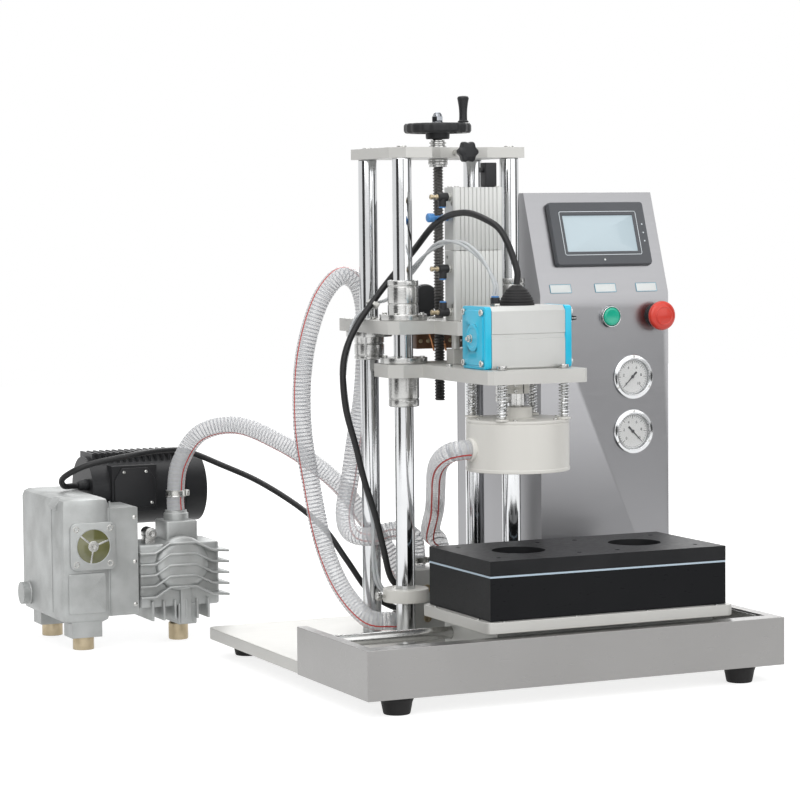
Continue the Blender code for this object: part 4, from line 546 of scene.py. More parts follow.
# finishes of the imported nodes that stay
for node, material in {
    "base_plate": SATIN_PLATE, "table_rails": TRAY_STEEL, "column_front_left": HARD_CHROME,
    "column_front_right": HARD_CHROME, "column_rear_left": HARD_CHROME, "column_rear_right": HARD_CHROME,
    "cabinet_rear_panel": BRUSHED_STEEL, "cabinet_shell": BRUSHED_STEEL, "fixture_lower": BLACK_SHEET,
    "vacuum_manifold": ANODISED, "pump_fan": BLACK_NYLON, "cylinder_rods": HARD_CHROME,
    "table_carriage": ANODISED, "lead_screw": GREASY_THREAD, "front_tray": TRAY_STEEL,
    "foot_front_left": BLACK_RUBBER, "foot_front_right": BLACK_RUBBER, "foot_rear_left": BLACK_RUBBER,
    "foot_rear_right": BLACK_RUBBER, "top_plate": SATIN_PLATE, "screw_bearing": TURNED_STEEL,
    "touch_screen": BEZEL, "gauge_upper": HARD_CHROME, "gauge_lower": HARD_CHROME,
    "pump_oil_box": CAST_ALUMINIUM, "pump_sight_glass": CAST_ALUMINIUM, "pump_cylinder": CAST_ALUMINIUM,
    "pump_motor": BLACK_NYLON, "pump_fan_cover": BLACK_NYLON, "handwheel": BLACK_NYLON,
    "handwheel_grip": BLACK_NYLON, "star_knob": BLACK_NYLON, "table_plate": SATIN_PLATE,
    "fixture_seal": SEAL_STRIP, "fixture_top": BLACK_TOP_PAINTED_SHEEN, "lift_plate": SATIN_PLATE,
    "lift_bearing_front_left": TURNED_STEEL, "lift_bearing_front_right": TURNED_STEEL,
    "lift_bearing_rear_left": TURNED_STEEL, "lift_bearing_rear_right": TURNED_STEEL,
    "air_cylinder": ANODISED, "head_plate": SATIN_PLATE, "head_bearing_left": TURNED_STEEL,
    "head_bearing_right": TURNED_STEEL, "actuator_body": ANODISED, "actuator_cap_left": CYAN_ENAMEL,
    "actuator_cap_right": CYAN_ENAMEL, "vacuum_bell": IVORY_PLASTIC, "spindle_and_chuck": TURNED_STEEL,
    "start_button": GREEN_LENS, "emergency_stop": RED_CAP, "selector_knob": BLACK_NYLON,
    "gauge_needle_upper": DIAL_INK, "gauge_needle_lower": DIAL_INK,
}.items():
    NODES[node].data.materials.clear()
    NODES[node].data.materials.append(material)


# ------------------------------------------------------------------ camera, floor and lights
def make_camera():
    """A long lens from the left of the tray, a little above its middle."""
    azimuth, pitch, roll = math.radians(24.48), math.radians(3.90), math.radians(-0.56)
    look = np.array([math.sin(azimuth) * math.cos(pitch), math.cos(azimuth) * math.cos(pitch),
                     -math.sin(pitch)])
    level = np.array([math.cos(azimuth), -math.sin(azimuth), 0])
    rise = np.cross(level, look)
    right = level * math.cos(roll) + rise * math.sin(roll)
    up = rise * math.cos(roll) - level * math.sin(roll)
    camera = bpy.data.objects.new("camera", bpy.data.cameras.new("camera"))
    camera.data.lens = 120.9
    camera.data.sensor_width = 36
    camera.data.clip_end = 60
    place = np.eye(4)
    place[:3, :3] = np.column_stack([right, up, -look])
    place[:3, 3] = ORIGIN + (-1.5578, -2.8844, 0.5956)
    camera.matrix_world = Matrix(place)
    bpy.context.scene.collection.objects.link(camera)
    bpy.context.scene.camera = camera


def background_strength(tree, seen, lit):
    """A strength that is seen by camera, glossy and transmission rays, and lit for the others."""
    rays = tree.nodes.new("ShaderNodeLightPath")
    total = rays.outputs["Is Camera Ray"]
    for kind in ("Is Glossy Ray", "Is Transmission Ray"):
        add = tree.nodes.new("ShaderNodeMath")
        add.operation = "MAXIMUM"
        tree.links.new(total, add.inputs[0])
        tree.links.new(rays.outputs[kind], add.inputs[1])
        total = add.outputs[0]
    choose = tree.nodes.new("ShaderNodeMapRange")
    choose.inputs["To Min"].default_value = lit
    choose.inputs["To Max"].default_value = seen
    tree.links.new(total, choose.inputs["Value"])
    return choose.outputs["Result"]


def make_room():
    """White surroundings, a pale floor, soft lamps, and cards that only reflections show."""
    world = bpy.data.worlds.new("white_studio")
    bpy.context.scene.world = world
    world.use_nodes = True
    tree = world.node_tree
    tree.nodes["Background"].inputs["Color"].default_value = (1, 1, 1, 1)
    tree.links.new(background_strength(tree, 1.0, 0.36), tree.nodes["Background"].inputs["Strength"])
    floor = bpy.data.objects.new("floor", bpy.data.meshes.new("floor"))
    floor.data.from_pydata([(-6, -6, 0), (6, -6, 0), (6, 6, 0), (-6, 6, 0)], [], [(0, 1, 2, 3)])
    bpy.context.scene.collection.objects.link(floor)
    material = bpy.data.materials.new("pale_floor")
    material.use_nodes = True
    tree = material.node_tree
    shader = tree.nodes["Principled BSDF"]
    shader.inputs["Base Color"].default_value = (0.50, 0.50, 0.50, 1)
    shader.inputs["Roughness"].default_value = 0.9
    shader.inputs["Specular IOR Level"].default_value = 0.0
    shader.inputs["Emission Color"].default_value = (1, 1, 1, 1)
    coordinates = tree.nodes.new("ShaderNodeTexCoord")
    away = tree.nodes.new("ShaderNodeVectorMath")
    away.operation = "LENGTH"
    tree.links.new(coordinates.outputs["Object"], away.inputs[0])
    fade = tree.nodes.new("ShaderNodeMapRange")
    fade.inputs["From Min"].default_value = 0.8
    fade.inputs["From Max"].default_value = 2.0
    fade.inputs["To Min"].default_value = FLOOR_GLOW
    fade.inputs["To Max"].default_value = 1.0
    tree.links.new(away.outputs["Value"], fade.inputs["Value"])
    glow = tree.nodes.new("ShaderNodeMath")
    glow.operation = "MULTIPLY"
    tree.links.new(background_strength(tree, 1.0, 0.0), glow.inputs[0])
    tree.links.new(fade.outputs["Result"], glow.inputs[1])
    tree.links.new(glow.outputs[0], shader.inputs["Emission Strength"])
    floor.data.materials.append(material)
    for name, place, aim, size, power in (
        ("key_lamp", (-1.6, -1.9, 2.2), (0, 0, 0.3), 2.8, 44),
        ("front_lamp", (0.9, -2.4, 1.5), (0, 0, 0.3), 2.4, 18),
        ("top_lamp", (0.1, 0.2, 2.6), (0, 0, 0.2), 1.8, 20),
        ("back_lamp", (1.2, 2.2, 1.8), (0, 0, 0.3), 1.6, 26),
    ):
        lamp = bpy.data.objects.new(name, bpy.data.lights.new(name, "AREA"))
        lamp.data.shape = "SQUARE"
        lamp.data.size = size
        lamp.data.energy = power
        spot = np.array(place, float)
        away = spot - np.array(aim, float)
        away /= np.linalg.norm(away)
        side = np.cross([0, 0, 1], away)
        side /= np.linalg.norm(side)
        turn = np.eye(4)
        turn[:3, :3] = np.column_stack([side, np.cross(away, side), away])
        turn[:3, 3] = spot
        lamp.matrix_world = Matrix(turn)
        bpy.context.scene.collection.objects.link(lamp)
    for name, x0, y0, x1, y1, top, shade in (
        ("left_card", -2.6, -1.4, -2.3, 0.2, 2.2, 0.05),
        ("front_card", -0.5, -3.6, 0.0, -3.6, 2.2, 0.12),
        ("right_card", 2.4, -1.6, 2.4, -0.6, 2.2, 0.05),
        ("low_card", 0.5, -2.3, 3.4, -2.0, 0.36, 0.03),
    ):
        card = bpy.data.objects.new(name, bpy.data.meshes.new(name))
        card.data.from_pydata([(x0, y0, 0), (x1, y1, 0), (x1, y1, top), (x0, y0, top)], [], [(0, 1, 2, 3)])
        bpy.context.scene.collection.objects.link(card)
        dark = bpy.data.materials.new(name)
        dark.use_nodes = True
        dark.node_tree.nodes["Principled BSDF"].inputs["Base Color"].default_value = (shade, shade, shade,
                                                                                      1)
        dark.node_tree.nodes["Principled BSDF"].inputs["Roughness"].default_value = 0.9
        card.data.materials.append(dark)
        card.visible_camera = card.visible_diffuse = card.visible_shadow = card.visible_transmission = False
    bpy.context.scene.view_settings.view_transform = "Standard"


FLOOR_GLOW = 0.76
make_camera()
make_room()


# ------------------------------------------------------------------ cords
PUMP_HOSE_ROUTE = [
    (-0.277, 0.700, 0.1843), (-0.277, 0.700, 0.205), (-0.271, 0.697, 0.250), (-0.246, 0.680, 0.293),
    (-0.203, 0.642, 0.305), (-0.160, 0.592, 0.283), (-0.130, 0.543, 0.256), (-0.107, 0.502, 0.226),
    (-0.086, 0.468, 0.185), (-0.062, 0.445, 0.140), (-0.045, 0.420, 0.100), (-0.040, 0.390, 0.088),
    (-0.040, 0.3703, 0.088),
]
LOOP_HOSE_ROUTE = [
    (-0.0853, 0.345, 0.060), (-0.106, 0.345, 0.060), (-0.134, 0.358, 0.066), (-0.154, 0.398, 0.105),
    (-0.166, 0.430, 0.165), (-0.177, 0.440, 0.240), (-0.188, 0.440, 0.312), (-0.188, 0.440, 0.379),
    (-0.179, 0.440, 0.434), (-0.159, 0.440, 0.487), (-0.132, 0.440, 0.516), (-0.107, 0.442, 0.508),
    (-0.094, 0.445, 0.475), (-0.093, 0.445, 0.416), (-0.100, 0.442, 0.349), (-0.112, 0.438, 0.295),
    (-0.122, 0.436, 0.241), (-0.135, 0.424, 0.200), (-0.140, 0.394, 0.176), (-0.124, 0.364, 0.172),
    (-0.096, 0.349, 0.180), (-0.072, 0.345, 0.172), (-0.0665, 0.345, 0.150), (-0.0665, 0.345, 0.1306),
]
CHAMBER_HOSE_ROUTE = [
    (-0.0998, 0.1156, 0.3052), (-0.109, 0.1156, 0.3052), (-0.121, 0.126, 0.301), (-0.122, 0.150, 0.289),
    (-0.113, 0.180, 0.272), (-0.098, 0.214, 0.249), (-0.082, 0.252, 0.218), (-0.070, 0.290, 0.190),
    (-0.054, 0.322, 0.176), (-0.035, 0.343, 0.164), (-0.030, 0.345, 0.149), (-0.030, 0.345, 0.1306),
]
PUMP_CABLE_ROUTE = [
    (-0.3893, 0.772, 0.2185), (-0.405, 0.772, 0.2185), (-0.422, 0.762, 0.220), (-0.429, 0.740, 0.234),
    (-0.400, 0.719, 0.252), (-0.339, 0.713, 0.263), (-0.285, 0.727, 0.2665), (-0.246, 0.732, 0.263),
    (-0.205, 0.702, 0.244), (-0.166, 0.657, 0.222), (-0.129, 0.602, 0.190), (-0.109, 0.552, 0.160),
    (-0.090, 0.522, 0.120), (-0.060, 0.512, 0.075), (-0.020, 0.508, 0.050), (0.030, 0.508, 0.0435),
    (0.072, 0.508, 0.052), (0.0937, 0.508, 0.052),
]
ACTUATOR_CABLE_ROUTE = [
    (-0.030, 0.1156, 0.5096), (-0.030, 0.1156, 0.530), (-0.042, 0.130, 0.574), (-0.056, 0.152, 0.592),
    (-0.069, 0.190, 0.600), (-0.078, 0.246, 0.588), (-0.086, 0.307, 0.548), (-0.107, 0.334, 0.512),
    (-0.130, 0.334, 0.485), (-0.154, 0.332, 0.455), (-0.170, 0.332, 0.423), (-0.175, 0.332, 0.391),
    (-0.171, 0.332, 0.345), (-0.158, 0.332, 0.298), (-0.146, 0.332, 0.251), (-0.131, 0.332, 0.205),
    (-0.120, 0.331, 0.160), (-0.112, 0.330, 0.125), (-0.101, 0.330, 0.110), (-0.0853, 0.330, 0.110),
]
AIR_TUBE_ROUTE = [
    (-0.068, 0.100, 0.4982), (-0.068, 0.100, 0.512), (-0.077, 0.120, 0.543), (-0.086, 0.165, 0.563),
    (-0.087, 0.235, 0.557), (-0.087, 0.304, 0.525), (-0.103, 0.335, 0.491), (-0.123, 0.346, 0.481),
    (-0.1475, 0.346, 0.464), (-0.158, 0.346, 0.438), (-0.166, 0.346, 0.400), (-0.164, 0.346, 0.345),
    (-0.151, 0.346, 0.292), (-0.139, 0.346, 0.246), (-0.130, 0.342, 0.200), (-0.131, 0.338, 0.150),
    (-0.122, 0.342, 0.110), (-0.101, 0.346, 0.095), (-0.0853, 0.346, 0.095),
]
HOSE_DIAMETER = 0.025
CABLE_DIAMETER = 0.0084
STUB_LENGTH = 0.020


def hose_sheet(line, part=None):
    """The hose wall, its spiral standing a fifth of a millimetre proud."""
    return tube(line, HOSE_DIAMETER / 2 - 0.0002, 24, HOSE_PITCH, 0.0004, part=part)


def cable_sheet(line, part=None):
    return tube(line, CABLE_DIAMETER / 2, 14, part=part)


def tube_pair_sheet(line, part=None):
    """Two 4 mm strands carried round the line half a turn apart, a full turn each 0.22 m."""
    strand = dict(radius=0.0020, sides=10, offset=0.0021, twist=1 / 0.22, part=part)
    return joined(tube(line, **strand), tube(line, phase=math.pi, **strand))


def cut(line, *lengths):
    """The parts that a line falls into when cut at lengths along it, each its first and last points."""
    travel = np.concatenate([[0], np.cumsum(np.linalg.norm(np.diff(line, axis=0), axis=1))])
    marks = [0, *np.searchsorted(travel, lengths), len(line) - 1]
    return list(zip(marks[:-1], marks[1:]))


def run_cord(name, sheet, material, node, bodies):
    """A cord along a line: fixed to one body, or, when given two bodies, left on no body with its place
    baked into its mesh.
    """
    obj = keep(name, sheet, None if len(bodies) > 1 else bodies[0], material, (node,), 60)
    if len(bodies) > 1:
        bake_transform(obj)
    return obj


def make_cords():
    """Six runs: three stay with the frame, three cross the lift and the head in stretches."""
    for name, route, node in (("pump_hose_wall", PUMP_HOSE_ROUTE, "pump_hose"),
                              ("loop_hose_wall", LOOP_HOSE_ROUTE, "loop_hose")):
        line = smooth_line(route, 0.0013)
        run_cord(name, hose_sheet(line), WIRE_HOSE, node, ("frame",))
    line = smooth_line(PUMP_CABLE_ROUTE, 0.004)
    run_cord("pump_cable_jacket", cable_sheet(line), CABLE_JACKET,
             "pump_cable", ("frame",))
    line = smooth_line(CHAMBER_HOSE_ROUTE, 0.0013)
    half = STUB_LENGTH + (length_of(line) - STUB_LENGTH) / 2
    stub = None
    for part, (name, diameter, bodies) in zip(cut(line, STUB_LENGTH, half), (
        ("chamber_hose_stub", 0, ("chamber", "head")),
        ("chamber_hose_upper", HOSE_DIAMETER, ("head", "lift")),
        ("chamber_hose_lower", HOSE_DIAMETER, ("lift", "frame")),
    )):
        piece = run_cord(name, hose_sheet(line, part), WIRE_HOSE,
                         "chamber_hose", bodies)
        stub = stub or piece
    for name, route, wall, material, slot, node, tie in (
        ("actuator_cable", ACTUATOR_CABLE_ROUTE, cable_sheet, CABLE_JACKET, "rubber", "actuator_cable", 8),
        ("air_tube_pair", AIR_TUBE_ROUTE, tube_pair_sheet, CLEAR_TUBE, "hose", "air_tubes", 7),
    ):
        line = smooth_line(route, 0.004)
        parts = cut(line, length_of(smooth_line(route[:tie + 1], 0.004)))
        for part, level, bodies in zip(parts, ("upper", "lower"), (("head", "lift"), ("lift", "frame"))):
            run_cord(f"{name}_{level}", wall(line, part),
                     material, node, bodies)


make_cords()


# ------------------------------------------------------------------ plates, sheet metal and blocks
def refined(node, body, material, edge=0.0008, segments=2):
    """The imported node's shape on a merged copy, its flat faces joined and its edges rounded."""
    mesh = NODES[node].data.copy()
    mesh.name = node + "_finished"
    work = bmesh.new()
    work.from_mesh(mesh)
    bmesh.ops.remove_doubles(work, verts=work.verts, dist=0.000005)
    bmesh.ops.dissolve_limit(work, angle_limit=math.radians(0.4), verts=work.verts, edges=work.edges)
    bmesh.ops.recalc_face_normals(work, faces=work.faces)
    work.to_mesh(mesh)
    work.free()
    if "custom_normal" in mesh.attributes:
        mesh.attributes.remove(mesh.attributes["custom_normal"])
    mesh.shade_smooth()
    mesh.set_sharp_from_angle(angle=math.radians(32))
    obj = bpy.data.objects.new(node + "_finished", mesh)
    bpy.context.scene.collection.objects.link(obj)
    mesh.materials.clear()
    mesh.materials.append(material)
    if edge:
        bevel = obj.modifiers.new("rounded edges", "BEVEL")
        bevel.width = edge
        bevel.segments = segments
        bevel.limit_method = "ANGLE"
        bevel.angle_limit = math.radians(40)
        bevel.harden_normals = True
    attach(obj, body)
    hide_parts(node)
    return obj


def make_plates():
    for node, body, material, slot, edge in (
        ("base_plate", "frame", SATIN_PLATE, "white_plate", 0.0012),
        ("front_tray", "frame", TRAY_STEEL, "stainless", 0.0007),
        ("top_plate", "frame", SATIN_PLATE, "white_plate", 0.0010),
        ("lift_plate", "lift", SATIN_PLATE, "white_plate", 0.0010),
        ("head_plate", "head", SATIN_PLATE, "white_plate", 0.0010),
        ("table_plate", "table", SATIN_PLATE, "white_plate", 0.0010),
        ("table_carriage", "table", ANODISED, "anodised", 0.0009),
        ("table_rails", "frame", TURNED_STEEL, "chrome", 0.0008),
        ("fixture_lower", "table", BLACK_SHEET, "black_plastic", 0.0009),
        ("fixture_seal", "table", SEAL_STRIP, "seal", 0.0),
        ("fixture_top", "table", BLACK_TOP_PAINTED_SHEEN, "black_plastic", 0.0008),
        ("cabinet_shell", "frame", BRUSHED_STEEL, "stainless", 0.0011),
        ("cabinet_rear_panel", "frame", BRUSHED_STEEL, "stainless", 0.0004),
        ("vacuum_manifold", "frame", ANODISED, "anodised", 0.0),
        ("cylinder_rods", "head", SATIN_PLATE, "chrome", 0.0006),
    ):
        refined(node, body, material, edge)


def make_feet():
    """Rubber feet: a cone with a rolled lower lip and a dished underside."""
    for corner in CORNERS:
        node = f"foot_{corner}"
        _, high, axis, r = upright(node)
        foot = turned([(0, 0.002), (r * 0.35, 0.002), (r * 0.4, 0), (r * 0.78, 0), (r * 0.82, 0.003),
                       (r * 0.93, 0.015), (r, 0.018), (r, high[2]), (0, high[2])],
                      (*axis, 0), sides=40, edge=0.0012)
        keep(node + "_rubber", foot, "frame", BLACK_RUBBER, (node,))


# ------------------------------------------------------------------ columns and their bearings
def make_columns():
    """Ground and chromed bars with a chamfer at each end."""
    for corner in CORNERS:
        node = f"column_{corner}"
        low, high, axis, r = upright(node)
        rows = [(0, low[2]), (r - 0.001, low[2]), (r, low[2] + 0.001), (r, high[2] - 0.001),
                (r - 0.001, high[2]), (0, high[2])]
        keep(node + "_bar", turned(rows, (*axis, 0), sides=72, edge=0.0002), "frame", HARD_CHROME,
             (node,))


COLUMN_CLEARANCE = 0.0003
FLANGE_THICKNESS = 0.0076
SLEEVE_RADIUS = 0.020
BOLT_CIRCLE = 0.0258


def bearing_profile(bore, low, high, flange, body, flange_low):
    """A flanged sleeve as a closed (radius, height) outline with two shallow grooves in its body."""
    flange_high = flange_low + FLANGE_THICKNESS
    above = high > flange_high + 0.002
    far, near = (high, flange_high) if above else (low, flange_low)
    way = 1 if above else -1
    grooves = []
    for share in (0.30, 0.82):
        z = near + (far - near) * share
        grooves += [(body, z - way * 0.0012), (body - 0.0009, z - way * 0.0006),
                    (body - 0.0009, z + way * 0.0006), (body, z + way * 0.0012)]
    outside = [(flange, flange_low if above else flange_high),
               (flange, flange_high if above else flange_low), (body, near), *grooves,
               (body, far - way * 0.001), (body - 0.0016, far)]
    inside = [(bore + 0.0022, far), (bore + 0.0022, far - way * 0.0012), (bore, far - way * 0.0024),
              (bore, flange_low if above else flange_high)]
    return outside + inside


def make_bearings():
    """Turned sleeves with bolted flanges: over the lift plate in front, under it behind, in the head."""
    bore = upright("column_front_left")[3] + COLUMN_CLEARANCE
    for node, body, up in (
        ("lift_bearing_front_left", "lift", 1), ("lift_bearing_front_right", "lift", 1),
        ("lift_bearing_rear_left", "lift", -1), ("lift_bearing_rear_right", "lift", -1),
        ("head_bearing_left", "head", -1), ("head_bearing_right", "head", -1),
    ):
        low, high, (x, y), flange = upright(node)
        flange_low = low[2] if up > 0 else high[2] - FLANGE_THICKNESS
        ring = turned(bearing_profile(bore, low[2], high[2], flange, SLEEVE_RADIUS, flange_low), (x, y, 0),
                      sides=56, edge=0.0005, ring=True)
        keep(node + "_sleeve", ring, body, TURNED_STEEL, (node,))
        if node.startswith("lift_bearing_rear"):
            continue
        face = flange_low + FLANGE_THICKNESS
        bolts = [socket_screw((x + BOLT_CIRCLE * math.cos(a), y + BOLT_CIRCLE * math.sin(a), face - 0.0006),
                              UP, 0.0033, 0.0028) for a in np.radians([45, 135, 225, 315])]
        keep(node + "_bolts", joined(*bolts), body, ZINC_SCREW)


def make_plate_screws():
    """Cap screws over each column, along the lift plate, in the head tongue and round the table plate."""
    high = box_of("top_plate")[1]
    columns = [middle_of(f"column_{corner}") for corner in CORNERS]
    keep("top_plate_screws", joined(*[
        socket_screw((c[0], c[1], high[2] - 0.0004), UP, 0.0065, 0.0022) for c in columns
    ]), "frame", ZINC_SCREW)
    low, high = box_of("lift_plate")
    x = (low[0] + high[0]) / 2
    spots = [(x - 0.041, 0.188), (x + 0.041, 0.188), (x - 0.096, 0.343), (x + 0.096, 0.343),
             (x - 0.022, 0.318), (x + 0.022, 0.318)]
    keep("lift_plate_screws", joined(*[
        socket_screw((a, b, high[2] - 0.0004), UP, 0.0042, 0.0034) for a, b in spots
    ]), "lift", ZINC_SCREW)
    high = box_of("head_plate")[1]
    spots = [(x - 0.060, 0.186), (x + 0.060, 0.186), (x, 0.210)]
    keep("head_plate_screws", joined(*[
        socket_screw((a, b, high[2] - 0.0004), UP, 0.0042, 0.0034) for a, b in spots
    ]), "head", ZINC_SCREW)
    low, high = box_of("table_plate")
    inner = (low + 0.0042, high - 0.0042)
    spots = [(a, inner[0][1]) for a in np.linspace(inner[0][0] + 0.02, inner[1][0] - 0.02, 4)]
    spots += [(inner[0][0], b) for b in np.linspace(inner[0][1] + 0.03, inner[1][1] - 0.03, 2)]
    keep("table_plate_screws", joined(*[
        pan_screw((a, b, high[2] - 0.0002), UP, 0.0026, 0.0016) for a, b in spots
    ]), "table", ZINC_SCREW)
    front = box_of("front_tray")[0][1] + 0.0008
    screws = [turned([(0, 0), (0.0052, 0), (0.0052, 0.0003), (0.0040, 0.0007), (0, 0.0007)],
                     (a, front, 0.0305), FRONT, 24, 0.0001) for a in (-0.221, 0.221)]
    keep("tray_front_screws", joined(*screws), "frame", ZINC_SCREW)


def make_ring_clamp():
    """White split collar on the front left column with a knurled steel thumb screw."""
    column = middle_of("column_front_left")
    r = 0.0128
    ring = washer(r, 0.030, 0.0944, 0.1115, (column[0], column[1], 0), sides=56, edge=0.001)
    keep("column_collar", ring, "frame", IVORY_PLASTIC)
    knob = turned([(0, 0), (0.0022, 0), (0.0022, 0.006), (0.0055, 0.006), (0.0055, 0.0125),
                   (0.0035, 0.0135), (0, 0.0135)], (column[0] - 0.0295, column[1], 0.103), LEFT, 30, 0.0004,
                  lobes=15, lobe=0.035)
    keep("collar_thumb_screw", knob, "frame", ZINC_SCREW)


# ------------------------------------------------------------------ lead screw and handwheel
def make_lead_screw():
    """A trapezoidal thread: the radius falls by a clipped cosine of the angle less the turns climbed.

    Above it the handwheel's cap nut, a low cylinder and a crowned top.
    """
    low, high = box_of("lead_screw")
    x, y = (low + high)[:2] / 2
    pitch, radius, depth, sides = 0.004, 0.0069, 0.0014, 24
    nut_low = high[2] - 0.015
    z = np.arange(low[2], nut_low, pitch / 8)
    turn = np.arange(sides) * 2 * math.pi / sides
    wave = np.clip(1.6 * np.cos(turn[None, :] - 2 * math.pi * z[:, None] / pitch), -1, 1)
    size = radius - depth * (1 - wave) / 2
    rows = np.stack([x + size * np.cos(turn), y + size * np.sin(turn), np.repeat(z[:, None], sides, 1)], 2)
    keep("lead_screw_thread", grid(rows), "screw", GREASY_THREAD, ("lead_screw",), 50)
    t = np.linspace(0, math.pi / 2, 7)
    crown = [(0.0078 * math.cos(a), nut_low + 0.008 + 0.007 * math.sin(a)) for a in t]
    nut = joined(disc(0.0079, nut_low, nut_low + 0.0012, (x, y, 0), sides=30),
                 prism(hexagon(0.0135), nut_low + 0.001, nut_low + 0.0085, 0.0006, (x, y, 0)),
                 turned([(0.0064, nut_low + 0.008)] + [(r * 0.8, h) for r, h in crown], (x, y, 0), sides=28,
                        edge=0))
    keep("handwheel_cap_nut", nut, "screw", SHADED_CHROME)


def make_handwheel():
    """Moulded wheel: a rim of eighteen finger scallops, three tapered spokes and a stepped hub."""
    low, high = box_of("handwheel")
    screw_low, screw_high = box_of("lead_screw")
    x, y = (screw_low + screw_high)[:2] / 2
    top = high[2]
    outer = 0.0442
    rim = turned([(0.0352, top - 0.0125), (0.0375, top - 0.0136), (outer - 0.002, top - 0.0136),
                  (outer, top - 0.0108), (outer, top - 0.0032), (outer - 0.002, top - 0.0006),
                  (0.0375, top - 0.0006), (0.0352, top - 0.002)], (x, y, 0), sides=144, edge=0.0012,
                 ring=True, lobes=18, lobe=0.016)
    hub = turned([(0.0074, top), (0.0118, top), (0.0125, top - 0.002), (0.0150, top - 0.003),
                  (0.0160, top - 0.012), (0.0158, low[2] + 0.002), (0.0150, low[2] + 0.0004),
                  (0.0074, low[2] + 0.0004)], (x, y, 0), sides=40, edge=0.0008, ring=True)
    spokes = []
    for angle in np.radians([-24.5, 95.5, 215.5]):
        across = spun(angle)
        outline = np.array([(0.0135, -0.0068), (0.025, -0.0050), (0.0365, -0.0062), (0.0365, 0.0062),
                            (0.025, 0.0050), (0.0135, 0.0068)])
        spokes.append(prism(outline, top - 0.0105, top - 0.0028, 0.0012, (x, y, 0), across))
    grip_low, grip_high = box_of("handwheel_grip")
    gx, gy = (grip_low + grip_high)[:2] / 2
    boss = disc(0.0088, top - 0.0120, top - 0.0004, (gx, gy, 0), sides=28, edge=0.0008)
    keep("handwheel_moulding", joined(rim, hub, *spokes, boss), "screw", BLACK_NYLON,
         ("handwheel",))
    z = grip_low[2]
    height = grip_high[2] - z
    t = np.linspace(0, 1, 14)
    waist = 0.0055 + 0.0023 * t**1.6 - 0.0007 * np.sin(math.pi * t)
    body = [(0, z), (0.0072, z), (0.0072, z + 0.0018)] + list(zip(waist, z + 0.003 + (height - 0.006) * t))
    crown = [(0.0066, grip_high[2] - 0.0008), (0.004, grip_high[2]), (0, grip_high[2])]
    keep("handwheel_handle", turned(body + crown, (gx, gy, 0), sides=32, edge=0.0005), "grip", BLACK_NYLON,
         ("handwheel_grip",))


def make_screw_bearing():
    """Collar with two rings under the top plate, and four washers of slightly different width over it."""
    low, high = box_of("screw_bearing")
    x, y = (low + high)[:2] / 2
    plate_low, plate_high = box_of("top_plate")
    under = plate_low[2] - 0.0003
    collar = turned([(0.0073, low[2]), (0.0118, low[2]), (0.0118, low[2] + 0.003),
                     (0.0130, low[2] + 0.0034), (0.0130, under - 0.0034), (0.0122, under - 0.003),
                     (0.0130, under - 0.0026), (0.0130, under), (0.0094, under),
                     (0.0094, plate_high[2] + 0.0003), (0.0073, plate_high[2] + 0.0003)], (x, y, 0),
                    sides=40, edge=0.0003, ring=True)
    stack = []
    z = plate_high[2] + 0.0003
    for radius, thick in ((0.0115, 0.0032), (0.0098, 0.0022), (0.0113, 0.0028), (0.0094, 0.0024)):
        stack.append(washer(0.0074, radius, z, z + thick - 0.0002, (x, y, 0), sides=40, edge=0.0004))
        z += thick
    keep("screw_thrust_bearing", joined(collar, *stack), "frame", TURNED_STEEL,
         ("screw_bearing",))


def make_star_knob():
    """Six-lobed clamping knob on a knurled steel stem that points into the top plate's notch."""
    low, high = box_of("star_knob")
    x, _, z = (low + high) / 2
    front = low[1]
    head = turned([(0, 0), (0.0052, 0), (0.0062, 0.001), (0.0115, 0.0016), (0.0132, 0.004), (0.0132, 0.011),
                   (0.0118, 0.0135), (0.0075, 0.0148), (0.0072, 0.0150), (0, 0.0150)],
                  (x, front + 0.0150, z), FRONT, 72, 0.0008, lobes=6, lobe=0.10)
    collar = disc(0.0068, 0, 0.004, (x, front + 0.0186, z), FRONT, 30, 0.0005)
    keep("star_knob_moulding", joined(head, collar), "locking_knob", BLACK_NYLON,
         ("star_knob",))
    length = high[1] - front - 0.0182
    rings = np.linspace(0, 1, 15)
    stem = [(0, 0)] + [(0.0037 + 0.0003 * (k % 2), length * r) for k, r in enumerate(rings)] + [(0, length)]
    keep("star_knob_stem", turned(stem, (x, high[1], z), FRONT, 28, 0), "locking_knob", ZINC_SCREW)


make_plates()
make_feet()
make_columns()
make_bearings()
make_plate_screws()
make_ring_clamp()
make_lead_screw()
make_handwheel()
make_screw_bearing()
make_star_knob()


# ------------------------------------------------------------------ air cylinder and its fittings
def ribbed_outline(low, high, pitch=0.0058, depth=0.0012):
    """A rectangle whose front side carries shallow square grooves at an even pitch."""
    count = int((high[0] - low[0] - 0.012) / pitch)
    start = (low[0] + high[0]) / 2 - count * pitch / 2
    front = []
    for k in range(count):
        x = start + k * pitch
        front += [(x + 0.0014, low[1]), (x + 0.0018, low[1] + depth), (x + 0.0036, low[1] + depth),
                  (x + 0.0040, low[1])]
    return np.array([(low[0] + 0.002, low[1]), *front, (high[0] - 0.002, low[1]), (high[0], low[1] + 0.002),
                     (high[0], high[1] - 0.002), (high[0] - 0.002, high[1]), (low[0] + 0.002, high[1]),
                     (low[0], high[1] - 0.002), (low[0], low[1] + 0.002)])


def push_fitting(base, facing, radius=0.0058, height=0.012):
    """A hexagon foot, a round body and a release ring: (metal, body, ring) sheets."""
    base = np.asarray(base, float)
    out = np.asarray(facing)[:, 2]
    metal = prism(hexagon(radius * 1.9), 0, 0.0035, 0.0004, base, facing)
    body = turned([(0, 0.0035), (radius, 0.0035), (radius, height - 0.001), (radius * 0.86, height),
                   (0, height)], base, facing, 26, 0.0005)
    ring = washer(0.0022, radius * 0.82, 0, 0.0018, base + out * height, facing, 26, 0.0003)
    return metal, body, ring


